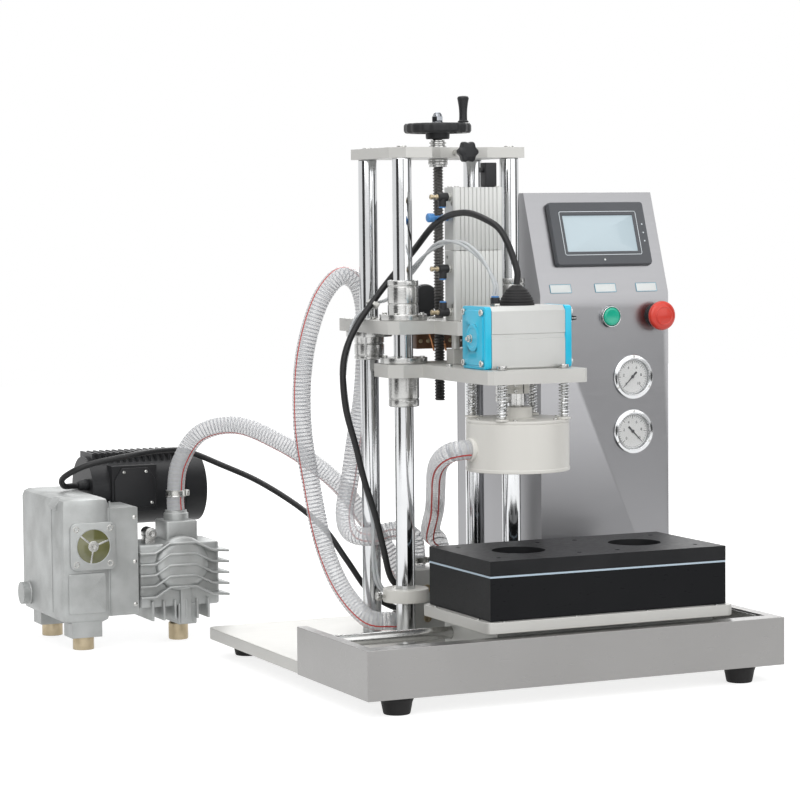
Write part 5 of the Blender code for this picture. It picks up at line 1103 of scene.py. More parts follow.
def elbow_fitting(foot, upward):
    """A banjo elbow on the cylinder's left face: hexagon foot, barrel, and a branch up or down."""
    foot = np.asarray(foot, float)
    way = 1 if upward else -1
    metal = prism(hexagon(0.0105), 0, 0.003, 0.0004, foot, LEFT)
    barrel = turned([(0, 0.003), (0.0056, 0.003), (0.0056, 0.0155), (0.0046, 0.0165), (0, 0.0165)], foot,
                    LEFT, 26, 0.0006)
    centre = foot + (-0.0102, 0, 0)
    branch = bar(centre, centre + (0, 0, way * 0.0125), 0.0050, 24, 0.0006)
    ring = bar(centre + (0, 0, way * 0.0122), centre + (0, 0, way * 0.0142), 0.0043, 24, 0.0004)
    screw = turned([(0, 0.0165), (0.0033, 0.0165), (0.0033, 0.0190), (0.0024, 0.0194), (0.0024, 0.0236),
                    (0.0033, 0.0240), (0.0033, 0.0272), (0, 0.0276)], foot, LEFT, 18, 0.0003)
    slot = block(foot + (-0.0279, -0.0026, -0.0004), foot + (-0.0272, 0.0026, 0.0004), 0.0001)
    return metal, joined(barrel, branch), ring, joined(screw, slot)


def make_cylinder():
    """Two ribbed body halves with a seam between them, end caps' screws, ports and elbow fittings."""
    low, high = box_of("air_cylinder")
    seam = low[2] + 0.0899
    outline = ribbed_outline(low, high)
    halves = [prism(outline, low[2], seam - 0.0002, 0.0004), prism(outline, seam + 0.0002, high[2], 0.0004)]
    keep("air_cylinder_body", joined(*halves), "lift", ANODISED, ("air_cylinder",), 25)
    x, y = (low + high)[:2] / 2
    screws = [socket_screw((x + a, y + b, high[2] - 0.0004), UP, 0.0030, 0.0018) for a in (-0.029, 0.029)
              for b in (-0.010, 0.010)]
    port_spots = ((0.006, 0.5435), (-0.008, 0.4800), (-0.008, 0.6120))
    face = [turned([(0, 0), (0.0030, 0), (0.0030, 0.0003), (0.0016, 0.0003), (0.0016, -0.0012),
                    (0, -0.0012)], (low[0], y + b, z), LEFT, 20, 0.0001) for b, z in port_spots]
    keep("air_cylinder_screws", joined(*screws, *face), "lift", ZINC_SCREW)
    valve = block((x + 0.014, y - 0.009, high[2] + 0.0001), (x + 0.030, y + 0.009, high[2] + 0.0315),
                  0.0012, 0.002)
    nozzle = disc(0.0034, 0, 0.004, (x + 0.014, y, high[2] + 0.022), LEFT, 20, 0.0004)
    keep("cylinder_top_valve", joined(valve, nozzle), "lift", BLACK_NYLON)
    metals, bodies, rings, screws = [], [], [], []
    for z, upward in ((0.6205, False), (0.5285, False), (0.4727, True)):
        metal, body, ring, screw = elbow_fitting((low[0] - 0.0001, y - 0.002, z), upward)
        metals.append(metal)
        bodies.append(body)
        rings.append(ring)
        screws.append(screw)
    keep("elbow_feet", joined(*metals), "lift", ZINC_SCREW)
    keep("elbow_bodies", joined(*bodies), "lift", BLACK_NYLON)
    keep("elbow_release_rings", joined(*rings), "lift", BLUE_RING)
    keep("elbow_brass_screws", joined(*screws), "lift", BRASS)
    knob = turned([(0, 0), (0.0042, 0), (0.0042, 0.008), (0.0026, 0.009), (0.0026, 0.019), (0.0056, 0.020),
                   (0.0060, 0.027), (0.0048, 0.029), (0, 0.029)], (low[0] - 0.0001, y + 0.004, 0.594), LEFT,
                  40, 0.0006, lobes=10, lobe=0.03)
    keep("flow_control_knob", knob, "lift", BLUE_RING)


def make_sensor_and_terminals():
    """The dark round body on the lift plate's left rear, and the wired terminal block under the plate."""
    low, high = box_of("lift_plate")
    x, y = (low[0] + high[0]) / 2 + 0.003, 0.3885
    drum = turned([(0, 0), (0.019, 0), (0.019, 0.010), (0.0175, 0.0115), (0.0175, 0.0135), (0, 0.0135)],
                  (x, y + 0.0135, high[2] + 0.0245), FRONT, 44, 0.0008)
    foot = block((x - 0.012, y + 0.001, high[2] + 0.0001), (x + 0.012, y + 0.0125, high[2] + 0.010), 0.001)
    keep("pressure_sensor_drum", joined(drum, foot), "lift", BLACK_NYLON)
    z0, z1 = low[2] - 0.0265, low[2] - 0.0055
    body = block((x - 0.014, 0.391, z0), (x + 0.052, 0.409, z1), 0.001)
    hanger = block((x + 0.004, 0.396, z1 - 0.001), (x + 0.030, 0.404, low[2] - 0.0001), 0.0008)
    keep("terminal_block", joined(body, hanger), "lift", BROWN_BLOCK)
    screws = [pan_screw((x - 0.008 + k * 0.011, 0.391, (z0 + z1) / 2), FRONT, 0.0030, 0.0012)
              for k in range(6)]
    keep("terminal_screws", joined(*screws), "lift", BRASS)
    wires = [tube(smooth_line([(x + 0.010 + k * 0.018, 0.390, z0 + 0.006),
                               (x + 0.008 + k * 0.018, 0.384, z0 - 0.002),
                               (x + 0.003 + k * 0.018, 0.381, z0 + 0.012),
                               (x + k * 0.018, 0.384, z1 + 0.003)], 0.0015), 0.0011, 10) for k in range(2)]
    keep("terminal_wires", joined(*wires), "lift", COPPER)


# ------------------------------------------------------------------ rotary actuator
def make_actuator():
    """Extruded body with a faint rib along each side, ribbed boot on top and a push-in fitting."""
    low, high = box_of("actuator_body")
    cap_low, cap_high = box_of("actuator_cap_left")
    z0, z1 = cap_low[2], cap_high[2]
    y0, y1 = low[1], high[1]
    zm = z0 + 0.52 * (z1 - z0)
    outline = np.array([
        (y0 + 0.002, z0), (y1 - 0.002, z0), (y1, z0 + 0.002), (y1, zm - 0.004), (y1 - 0.0012, zm - 0.002),
        (y1 - 0.0012, zm + 0.002), (y1, zm + 0.004), (y1, z1 - 0.006), (y1 - 0.006, z1), (y0 + 0.006, z1),
        (y0, z1 - 0.006), (y0, zm + 0.0035), (y0 + 0.0010, zm + 0.0025), (y0 + 0.0010, zm - 0.0025),
        (y0, zm - 0.0035), (y0, z0 + 0.002),
    ])
    keep("actuator_extrusion", prism(outline, low[0], high[0], 0.0005, facing=RIGHT), "head", ANODISED,
         ("actuator_body",), 22)
    x, y = (low + high)[:2] / 2
    r = 0.0222
    ribs = []
    for share in np.linspace(0, 0.72, 6):
        size = r * (1 - 0.62 * share**1.5)
        ribs += [(size, z1 + 0.0015 + share * 0.022), (size * 0.985, z1 + 0.0032 + share * 0.022),
                 (size * 0.93, z1 + 0.0038 + share * 0.022)]
    boot = turned([(0, z1 + 0.0001), (r, z1 + 0.0001)] + ribs + [(r * 0.40, z1 + 0.0225), (0.0060, high[2]),
                                                                 (0, high[2])], (x, y, 0), sides=48,
                  edge=0.0003)
    keep("actuator_cable_boot", boot, "head", BLACK_RUBBER, smooth=50)
    metal, body, ring = push_fitting((-0.068, 0.100, z1 - 0.0002), UP, 0.0060, 0.0110)
    keep("actuator_fitting_foot", metal, "head", ZINC_SCREW)
    keep("actuator_fitting_body", body, "head", BLACK_NYLON)
    keep("actuator_fitting_ring", ring, "head", BLUE_RING)
    for side, facing in (("left", LEFT), ("right", RIGHT)):
        low, high = box_of(f"actuator_cap_{side}")
        sign = -1 if side == "left" else 1
        near = high[0] if side == "left" else low[0]
        thick = high[0] - low[0]
        middle = np.array([near, (y0 + y1) / 2, (z0 + z1) / 2])
        half_y, half_z = (y1 - y0) / 2, (z1 - z0) / 2
        shell = prism(rectangle((-half_y, -half_z), (half_y, half_z), 0.005), 0, thick - 0.0018, 0.0010,
                      middle, facing)
        pad = prism(rectangle((-half_y + 0.0045, -half_z + 0.0045), (half_y - 0.0045, half_z - 0.0045),
                              0.014), thick - 0.004, thick, 0.0012, middle, facing)
        boss = turned([(0, thick), (0.0175, thick), (0.0165, thick + 0.0010), (0.0125, thick + 0.0012),
                       (0.0115, thick + 0.0004), (0, thick + 0.0004)], middle, facing, 44, 0.0004)
        keep(f"actuator_cap_{side}_casting", joined(shell, pad, boss), "head", CYAN_ENAMEL,
             (f"actuator_cap_{side}",))
        spots = [(a * (half_y - 0.0075), b * (half_z - 0.0075)) for a in (-1, 1) for b in (-1, 1)]
        bolts = [socket_screw(middle + np.asarray(facing) @ (a, b, thick - 0.0012), facing, 0.0042, 0.0030)
                 for a, b in spots]
        stud_foot = middle + np.asarray(facing) @ (0.004 * sign, -0.0013, thick + 0.0004)
        stud = hex_bolt(stud_foot, facing, 0.0085, 0.0040)
        tip = turned([(0, 0.0035), (0.0026, 0.0035), (0.0026, 0.0066), (0, 0.0072)],
                     stud_foot, facing, 18, 0.0004)
        keep(f"actuator_cap_{side}_screws", joined(*bolts, stud, tip), "head", ZINC_SCREW)


# ------------------------------------------------------------------ vacuum bell, posts and spindle
def make_bell():
    """Machined bell: lid seam, rolled bottom lip, stepped hub, side port; four posts with springs."""
    low, high = box_of("vacuum_bell")
    plate_low, plate_high = box_of("head_plate")
    x, y = middle_of("spindle_and_chuck")[:2]
    r = high[0] - x
    z0 = low[2]
    top = z0 + 0.0651
    hub = top + 0.0143
    bell = turned([(0.0087, top - 0.008), (r - 0.0055, top - 0.008), (r - 0.005, top - 0.0085),
                   (r - 0.005, z0 + 0.006), (r - 0.0022, z0 + 0.002), (r - 0.0020, z0), (r - 0.0004, z0),
                   (r, z0 + 0.0008), (r, z0 + 0.0040), (r - 0.0006, z0 + 0.0046), (r - 0.0006, z0 + 0.0600),
                   (r - 0.0012, z0 + 0.0604), (r - 0.0012, z0 + 0.0612), (r - 0.0004, z0 + 0.0616),
                   (r - 0.0004, top - 0.0010), (r - 0.0014, top), (0.0240, top), (0.0235, top + 0.0010),
                   (0.0185, top + 0.0014), (0.0185, hub - 0.0008), (0.0177, hub), (0.0087, hub),],
                  (x, y, 0), sides=112, edge=0.0007, ring=True)
    port_z = z0 + 0.028
    collar = turned([(0, -0.004), (0.0150, -0.004), (0.0150, 0.0022), (0.0140, 0.0034), (0, 0.0034)],
                    (x - r, y, port_z), LEFT, 40, 0.0008)
    keep("bell_shell", joined(bell, collar), "chamber", IVORY_PLASTIC, ("vacuum_bell",))
    seal = turned([(r - 0.0044, z0 + 0.0002), (r - 0.0022, z0 + 0.0002), (r - 0.0026, z0 + 0.0030),
                   (r - 0.0048, z0 + 0.0040)], (x, y, 0), sides=96, edge=0.0006, ring=True)
    keep("bell_lip_seal", seal, "chamber", SEAL_STRIP)
    posts, heads, springs, bushes = [], [], [], []
    for a in (-0.043, 0.043):
        for b in (-0.043, 0.043):
            spot = (x + a, y + b, 0)
            posts.append(disc(0.0038, top - 0.001, plate_high[2] + 0.001, spot, sides=24, edge=0.0003))
            heads.append(socket_screw((x + a, y + b, plate_high[2] + 0.0004), UP, 0.0064, 0.0048))
            bushes.append(turned([(0.0038, top + 0.0001), (0.0085, top + 0.0001), (0.0085, top + 0.0022),
                                  (0.0060, top + 0.0028), (0.0038, top + 0.0028)], spot, sides=30,
                                 edge=0.0004, ring=True))
            springs.append(spring(x + a, y + b, top + 0.0029, plate_low[2] - 0.0002, 0.0060, 0.00085, 11))
    keep("bell_posts", joined(*posts, *heads), "chamber", TURNED_STEEL)
    keep("bell_post_bushes", joined(*bushes), "chamber", IVORY_PLASTIC)
    coils = keep("bell_springs", joined(*springs), "head", HARD_CHROME)
    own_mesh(coils)
    lid = [socket_screw((x + 0.056 * math.cos(a), y + 0.056 * math.sin(a), top - 0.0004), UP, 0.0030,
                        0.0020) for a in np.radians(np.arange(0, 360, 60))]
    keep("bell_lid_screws", joined(*lid), "chamber", ZINC_SCREW)


def make_spindle():
    """Shaft, split clamp coupling with its screw, and the chuck: a grooved cup with a rubber cone."""
    low, high, (x, y), r = upright("spindle_and_chuck")
    z0, z1 = low[2], high[2]
    shaft = turned([(0, z0 + 0.030), (0.0082, z0 + 0.030), (0.0082, z1 - 0.032), (0.0095, z1 - 0.0315),
                    (0.0095, z1), (0, z1)], (x, y, 0), sides=36, edge=0.0004)
    chuck = turned([(0.0082, z0 + 0.034), (0.0200, z0 + 0.034), (0.0285, z0 + 0.0275), (r, z0 + 0.0255),
                    (r, z0 + 0.0190), (r - 0.0012, z0 + 0.0184), (r - 0.0012, z0 + 0.0160),
                    (r, z0 + 0.0154), (r, z0 + 0.0100), (r - 0.0012, z0 + 0.0094),
                    (r - 0.0012, z0 + 0.0070), (r, z0 + 0.0064), (r, z0 + 0.001), (r - 0.001, z0),
                    (r - 0.0030, z0), (r - 0.0060, z0 + 0.0200), (0.0082, z0 + 0.0200),], (x, y, 0),
                   sides=72, edge=0.0005, ring=True)
    keep("spindle_shaft_and_chuck", joined(shaft, chuck), "spindle", TURNED_STEEL,
         ("spindle_and_chuck",))
    cone = turned([(0.0040, z0 + 0.0198), (r - 0.0064, z0 + 0.0198), (r - 0.0040, z0 + 0.0020),
                   (r - 0.0062, z0 + 0.0016), (0.0120, z0 + 0.0160), (0.0040, z0 + 0.0160)], (x, y, 0),
                  sides=48, edge=0.0008, ring=True)
    keep("chuck_rubber_cone", cone, "spindle", BLACK_RUBBER)
    a, b = z1 - 0.0320, z1 - 0.0172
    coupling = turned([(0.0096, a), (0.0150, a), (0.0155, a + 0.0006), (0.0155, (a + b) / 2 - 0.0005),
                       (0.0148, (a + b) / 2), (0.0155, (a + b) / 2 + 0.0005), (0.0155, b - 0.0006),
                       (0.0150, b), (0.0096, b)], (x, y, 0), sides=48, edge=0.0004, ring=True)
    keep("spindle_coupling", coupling, "spindle", IVORY_PLASTIC)
    clamp = [socket_screw((x - 0.009, y - 0.0124, z), FRONT, 0.0026, 0.0026)
             for z in (a + 0.0036, b - 0.0036)]
    # The clamp slit is drawn as a thin black strip laid on the white coupling: its black is painted shade,
    # the dark inside of the cut.
    slit_shade = block((x + 0.0002, y - 0.0158, a + 0.0004), (x + 0.0014, y - 0.0100, b - 0.0004), 0.0002)
    keep("coupling_clamp_screws", joined(*clamp), "spindle", ZINC_SCREW)
    keep("coupling_slit", slit_shade, "spindle", BLACK_NYLON)


# ------------------------------------------------------------------ cabinet panel
cabinet_low, cabinet_high = box_of("cabinet_shell")
FOLD_Z = 0.490
TILT = math.atan2(0.048, cabinet_high[2] - FOLD_Z)
SLOPE = np.column_stack([(1, 0, 0), (0, math.sin(TILT), math.cos(TILT)),
                         (0, -math.cos(TILT), math.sin(TILT))])


def on_slope(x, up_slope, out=0.0):
    """A point on the cabinet's sloped panel, so far up from the fold and out from the sheet."""
    return np.array([x, cabinet_low[1], FOLD_Z]) + SLOPE @ (0, up_slope, out)


def frame_ring(half_x, half_y, width, low, high, radius, centre, facing):
    """A rectangular frame of a width: rounded rectangles that shrink inwards through its section."""
    chamfer = min(width, high - low) * 0.25
    stations = [(width, low), (width, high - chamfer), (width - chamfer, high), (chamfer, high),
                (0, high - chamfer), (0, low)]
    rows = []
    for move, height in stations:
        outline = rectangle((move - half_x, move - half_y), (half_x - move, half_y - move),
                            max(radius - move, radius * 0.3), 5)
        rows.append(np.column_stack([outline, np.full(len(outline), height)]))
    return grid(np.stack(rows) @ np.asarray(facing).T + np.asarray(centre, float), wrap_rows=True)


def make_touch_screen():
    """A moulded bezel round a sunk pale screen, with thin frame lines drawn on the glass."""
    x = (cabinet_low[0] + cabinet_high[0]) / 2 + 0.0045
    centre = on_slope(x, 0.083)
    shell = prism(rectangle((-0.073, -0.045), (0.073, 0.045), 0.004), 0.0003, 0.0060, 0.0010, centre, SLOPE)
    rim = frame_ring(0.0724, 0.0444, 0.0186, 0.0055, 0.0088, 0.004, centre, SLOPE)
    keep("touch_screen_bezel", joined(shell, rim), "frame", BEZEL, ("touch_screen",))
    glass = prism(rectangle((-0.0545, -0.0265), (0.0545, 0.0265), 0.001), 0.0058, 0.0072, 0.0002, centre,
                  SLOPE)
    keep("touch_screen_glass", glass, "frame", SCREEN_GLASS)
    line = frame_ring(0.0590, 0.0312, 0.0009, 0.0084, 0.00905, 0.003, centre, SLOPE)
    dots = [disc(0.0011, 0, 0.0003, centre + SLOPE @ (0.0660, up, 0.0087), SLOPE, 14, 0.0001)
            for up in (-0.012, 0.0, 0.012)]
    keep("touch_screen_lines", joined(line, *dots), "frame", SCREEN_LINE)
    lamp = disc(0.0014, 0, 0.0003, centre + SLOPE @ (0.0, -0.0378, 0.0087), SLOPE, 14, 0.0001)
    keep("touch_screen_lamp", lamp, "frame", LABEL_CARD)


def make_label_plates():
    """Three blank plates with thin coloured borders, just over the fold."""
    cards, borders = [], []
    for x in (0.126, 0.194, 0.257):
        centre = on_slope(x, 0.0078)
        cards.append(prism(rectangle((-0.0155, -0.0058), (0.0155, 0.0058), 0.001), 0.0001, 0.0007, 0.0001,
                           centre, SLOPE))
        borders.append(frame_ring(0.0160, 0.0062, 0.0008, 0.0001, 0.0009, 0.001, centre, SLOPE))
    keep("blank_label_plates", joined(*cards), "frame", LABEL_CARD)
    keep("label_plate_borders", joined(*borders), "frame", LABEL_EDGE)


def bezel_ring(x, z, inner, outer, proud):
    """A button's bezel: a chamfered ring with an eased inner edge."""
    return turned([(inner, 0.0001), (outer, 0.0001), (outer, proud * 0.45), (outer - 0.0018, proud),
                   (inner + 0.0008, proud), (inner, proud - 0.0012)], (x, cabinet_low[1], z), FRONT, 56,
                  0.0004, ring=True)


STEM_DEPTH = 0.0195


def make_controls():
    """Start button, mushroom stop and selector, each behind its own bezel."""
    start = middle_of("start_button")
    stop = middle_of("emergency_stop")
    selector = middle_of("selector_knob")
    z = start[2]
    keep("button_bezels", joined(bezel_ring(start[0], z, 0.0124, 0.0156, 0.0070),
                                 bezel_ring(selector[0], z, 0.0110, 0.0145, 0.0036)), "frame", HARD_CHROME)
    keep("stop_bezel", bezel_ring(stop[0], z, 0.0110, 0.0160, 0.0060), "frame", BLACK_NYLON)
    face = cabinet_low[1]
    lens = turned([(0, -STEM_DEPTH), (0.0100, -STEM_DEPTH), (0.0100, 0.0046), (0.0121, 0.0048),
                   (0.0121, 0.0066), (0.0114, 0.0078), (0.0098, 0.0084), (0.0040, 0.0080), (0, 0.0079)],
                  (start[0], face, z), FRONT, 44, 0.0006)
    keep("start_lens", lens, "start", GREEN_LENS, ("start_button",))
    depth = face - box_of("emergency_stop")[0][1]
    t = np.linspace(0, 1, 9)
    crown = [(0.0168 * (1 - s), depth - 0.0034 * (1 - s) ** 2 - 0.0002) for s in t]
    cap = turned([(0, -STEM_DEPTH), (0.0100, -STEM_DEPTH), (0.0100, depth - 0.0135),
                  (0.0150, depth - 0.0130), (0.0194, depth - 0.0115), (0.0199, depth - 0.0085),
                  (0.0192, depth - 0.0055)] + crown, (stop[0], face, z), FRONT, 64, 0.0009)
    ring = turned([(0.0108, depth - 0.0016), (0.0122, depth - 0.0012), (0.0130, depth - 0.0020),
                   (0.0120, depth - 0.0030)], (stop[0], face, z), FRONT, 56, 0.0003, ring=True)
    keep("stop_mushroom", joined(cap, ring), "stop", RED_CAP, ("emergency_stop",))
    knob = turned([(0, -STEM_DEPTH), (0.0102, -STEM_DEPTH), (0.0103, 0.0070), (0.0096, 0.0082),
                   (0, 0.0082)], (selector[0], face, z), FRONT, 40, 0.0006)
    lever = np.array([(-0.0124, -0.0022), (-0.004, -0.0034), (0.004, -0.0034), (0.0124, -0.0022),
                      (0.0124, 0.0022), (0.004, 0.0034), (-0.004, 0.0034), (-0.0124, 0.0022)])
    handle = prism(lever, 0.0070, 0.0158, 0.0010, (selector[0], face, z), FRONT)
    keep("selector_switch", joined(knob, handle), "selector", BLACK_NYLON,
         ("selector_knob",))
    mark = block((selector[0] + 0.0050, face - 0.01605, z - 0.0005),
                 (selector[0] + 0.0115, face - 0.0156, z + 0.0005), 0.0001)
    keep("selector_mark", mark, "selector", DIAL_CARD)


DIAL_START = 225
DIAL_SWEEP = 270


def dial_numbers(name, centre, values):
    """Plain figures round a dial: text made a mesh, each stood on its own angle."""
    meshes = []
    for value, angle in values:
        curve = bpy.data.curves.new(name, "FONT")
        curve.body = value
        curve.size = 0.0052
        curve.align_x = "CENTER"
        curve.align_y = "CENTER"
        curve.extrude = 0.00008
        source = bpy.data.objects.new(name, curve)
        bpy.context.scene.collection.objects.link(source)
        bpy.context.view_layer.update()
        mesh = bpy.data.meshes.new_from_object(source.evaluated_get(bpy.context.evaluated_depsgraph_get()))
        bpy.data.objects.remove(source, do_unlink=True)
        bpy.data.curves.remove(curve)
        spot = np.array([0.0135 * math.cos(angle), 0.0135 * math.sin(angle), 0.0007])
        turn = np.eye(4)
        turn[:3, :3] = FRONT
        turn[:3, 3] = np.asarray(centre) + FRONT @ spot + ORIGIN
        mesh.transform(Matrix(turn))
        meshes.append(mesh)
    work = bmesh.new()
    for mesh in meshes:
        work.from_mesh(mesh)
        bpy.data.meshes.remove(mesh)
    whole = bpy.data.meshes.new(name)
    work.to_mesh(whole)
    work.free()
    obj = bpy.data.objects.new(name, whole)
    bpy.context.scene.collection.objects.link(obj)
    whole.materials.clear()
    whole.materials.append(DIAL_INK)
    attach(obj, "frame")


def make_gauge(level, needle_angle, figures):
    """Panel gauge: polished flange with three screws, stepped ring, card, ticks and a pointer."""
    low, high = box_of(f"gauge_{level}")
    x, z = (low[0] + high[0]) / 2, (low[2] + high[2]) / 2
    front = low[1]
    centre = np.array([x, front + 0.006, z])
    body = turned([(0, 0), (0.0232, 0), (0.0236, 0.0046), (0.0242, 0.0058), (0.0252, 0.0060),
                   (0.0256, 0.0050), (0.0290, 0.0046), (0.0300, 0.0040), (0.0300, 0.0020), (0.0240, 0.0020),
                   (0.0240, -0.028), (0, -0.028),], centre, FRONT, 80, 0.0004)
    keep(f"gauge_{level}_case", body, "frame", HARD_CHROME, (f"gauge_{level}",))
    screws = [pan_screw(centre + FRONT @ (0.0273 * math.cos(a), 0.0273 * math.sin(a), 0.0044), FRONT,
                        0.0019, 0.0010) for a in np.radians([90, 210, 330])]
    keep(f"gauge_{level}_screws", joined(*screws), "frame", ZINC_SCREW)
    card = disc(0.0226, 0.0001, 0.0005, centre, FRONT, 64, 0.0001)
    keep(f"gauge_{level}_card", card, "frame", DIAL_CARD)
    ticks = []
    for k, angle in enumerate(np.radians(DIAL_START - np.arange(0, DIAL_SWEEP + 1, 9))):
        long = k % 5 == 0
        outline = rectangle((0.0172 if long else 0.0192, -0.00028 if long else -0.00016),
                            (0.0214, 0.00028 if long else 0.00016))
        ticks.append(prism(outline, 0.0005, 0.00065, 0.00002, centre, FRONT @ spun(angle), steps=1))
    arc = washer(0.0214, 0.0217, 0.0005, 0.00065, centre, FRONT, 72, 0.00005)
    keep(f"gauge_{level}_ticks", joined(*ticks, arc), "frame", DIAL_INK)
    dial_numbers(f"gauge_{level}_figures", centre, figures)
    pointer = np.array([(-0.0090, -0.0011), (-0.0075, -0.0014), (0.0, -0.0010), (0.0185, -0.0002),
                        (0.0185, 0.0002), (0.0, 0.0010), (-0.0075, 0.0014), (-0.0090, 0.0011)])
    needle = joined(prism(pointer, 0.0009, 0.0015, 0.0001, centre, FRONT @ spun(needle_angle)),
                    turned([(0, 0.0007), (0.0022, 0.0007), (0.0022, 0.0022), (0.0016, 0.0026), (0, 0.0026)],
                           centre, FRONT, 24, 0.0003))
    keep(f"gauge_{level}_pointer", needle, f"needle_{level}", DIAL_INK,
         (f"gauge_needle_{level}",))
    lens = turned([(0, 0.0040), (0.0230, 0.0040), (0.0230, 0.0046), (0, 0.0048)], centre, FRONT, 56, 0.0001)
    keep(f"gauge_{level}_lens", lens, "frame", CLEAR_LENS)


def clear_lens():
    """Thin clear plastic: almost all of it lets light straight through, and the rest is gloss."""
    material = finish("clear_lens", (0.9, 0.92, 0.93), 0.08, grain=100, bump=0.0, rough_range=0.02)
    material.node_tree.nodes["Principled BSDF"].inputs["Alpha"].default_value = 0.05
    return material


CLEAR_LENS = clear_lens()
make_cylinder()
make_sensor_and_terminals()
make_actuator()
make_bell()
make_spindle()
make_touch_screen()
make_label_plates()
make_controls()
VACUUM_FIGURES = [(text, math.radians(DIAL_START - DIAL_SWEEP / 5 * k))
                  for k, text in enumerate(("0", "2", "4", "6", "8", "10"))]
make_gauge("upper", math.radians(-135), VACUUM_FIGURES)
make_gauge("lower", math.radians(-45), VACUUM_FIGURES)


# ------------------------------------------------------------------ vacuum pump
def wavy_fin(z, x0, x1, y0, y1, rise, thick=0.0034):
    """A cast fin that runs level, climbs over the crank case and comes down again."""
    share = np.array([0, 0.17, 0.33, 0.63, 0.82, 1])
    x = x0 + share * (x1 - x0)
    low = z + rise * np.array([0, 0, 1, 1, 0, -0.15])
    edge = thick * 0.3
    section = np.array([(y0, edge), (y0, thick - edge), (y0 + edge, thick), (y1 - edge, thick),
                        (y1, thick - edge), (y1, edge), (y1 - edge, 0), (y0 + edge, 0)])
    size = (len(x), len(section))
    rows = np.stack([np.broadcast_to(x[:, None], size), np.broadcast_to(section[:, 0], size),
                     low[:, None] + section[:, 1]], 2)
    return grid(rows)


CLIP_RADIUS = 0.0128


def hose_clamp(centre, facing, radius, width=0.009):
    """A worm-drive clip: a band with turned edges, a screw housing and its hexagon screw."""
    centre, facing = np.asarray(centre, float), np.asarray(facing, float)
    half = width / 2
    band = turned([(radius, -half), (radius + 0.0016, -half), (radius + 0.0009, -half + 0.0014),
                   (radius + 0.0009, half - 0.0014), (radius + 0.0016, half), (radius, half)], centre,
                  facing, 48, 0.0002, ring=True)
    house = prism(rectangle((radius, -0.0065), (radius + 0.0062, 0.0065), 0.002), -half * 0.9, half * 0.9,
                  0.0006, centre, facing)
    across = np.column_stack([facing[:, 2], facing[:, 0], facing[:, 1]])
    screw = prism(hexagon(0.0072), 0.0060, 0.0140, 0.0004, centre + facing @ (radius + 0.0040, 0, 0),
                  across)
    return joined(band, house, screw)


PUMP_FOOT = (-0.276, 0.700)
PUMP_INLET = (-0.277, 0.700)


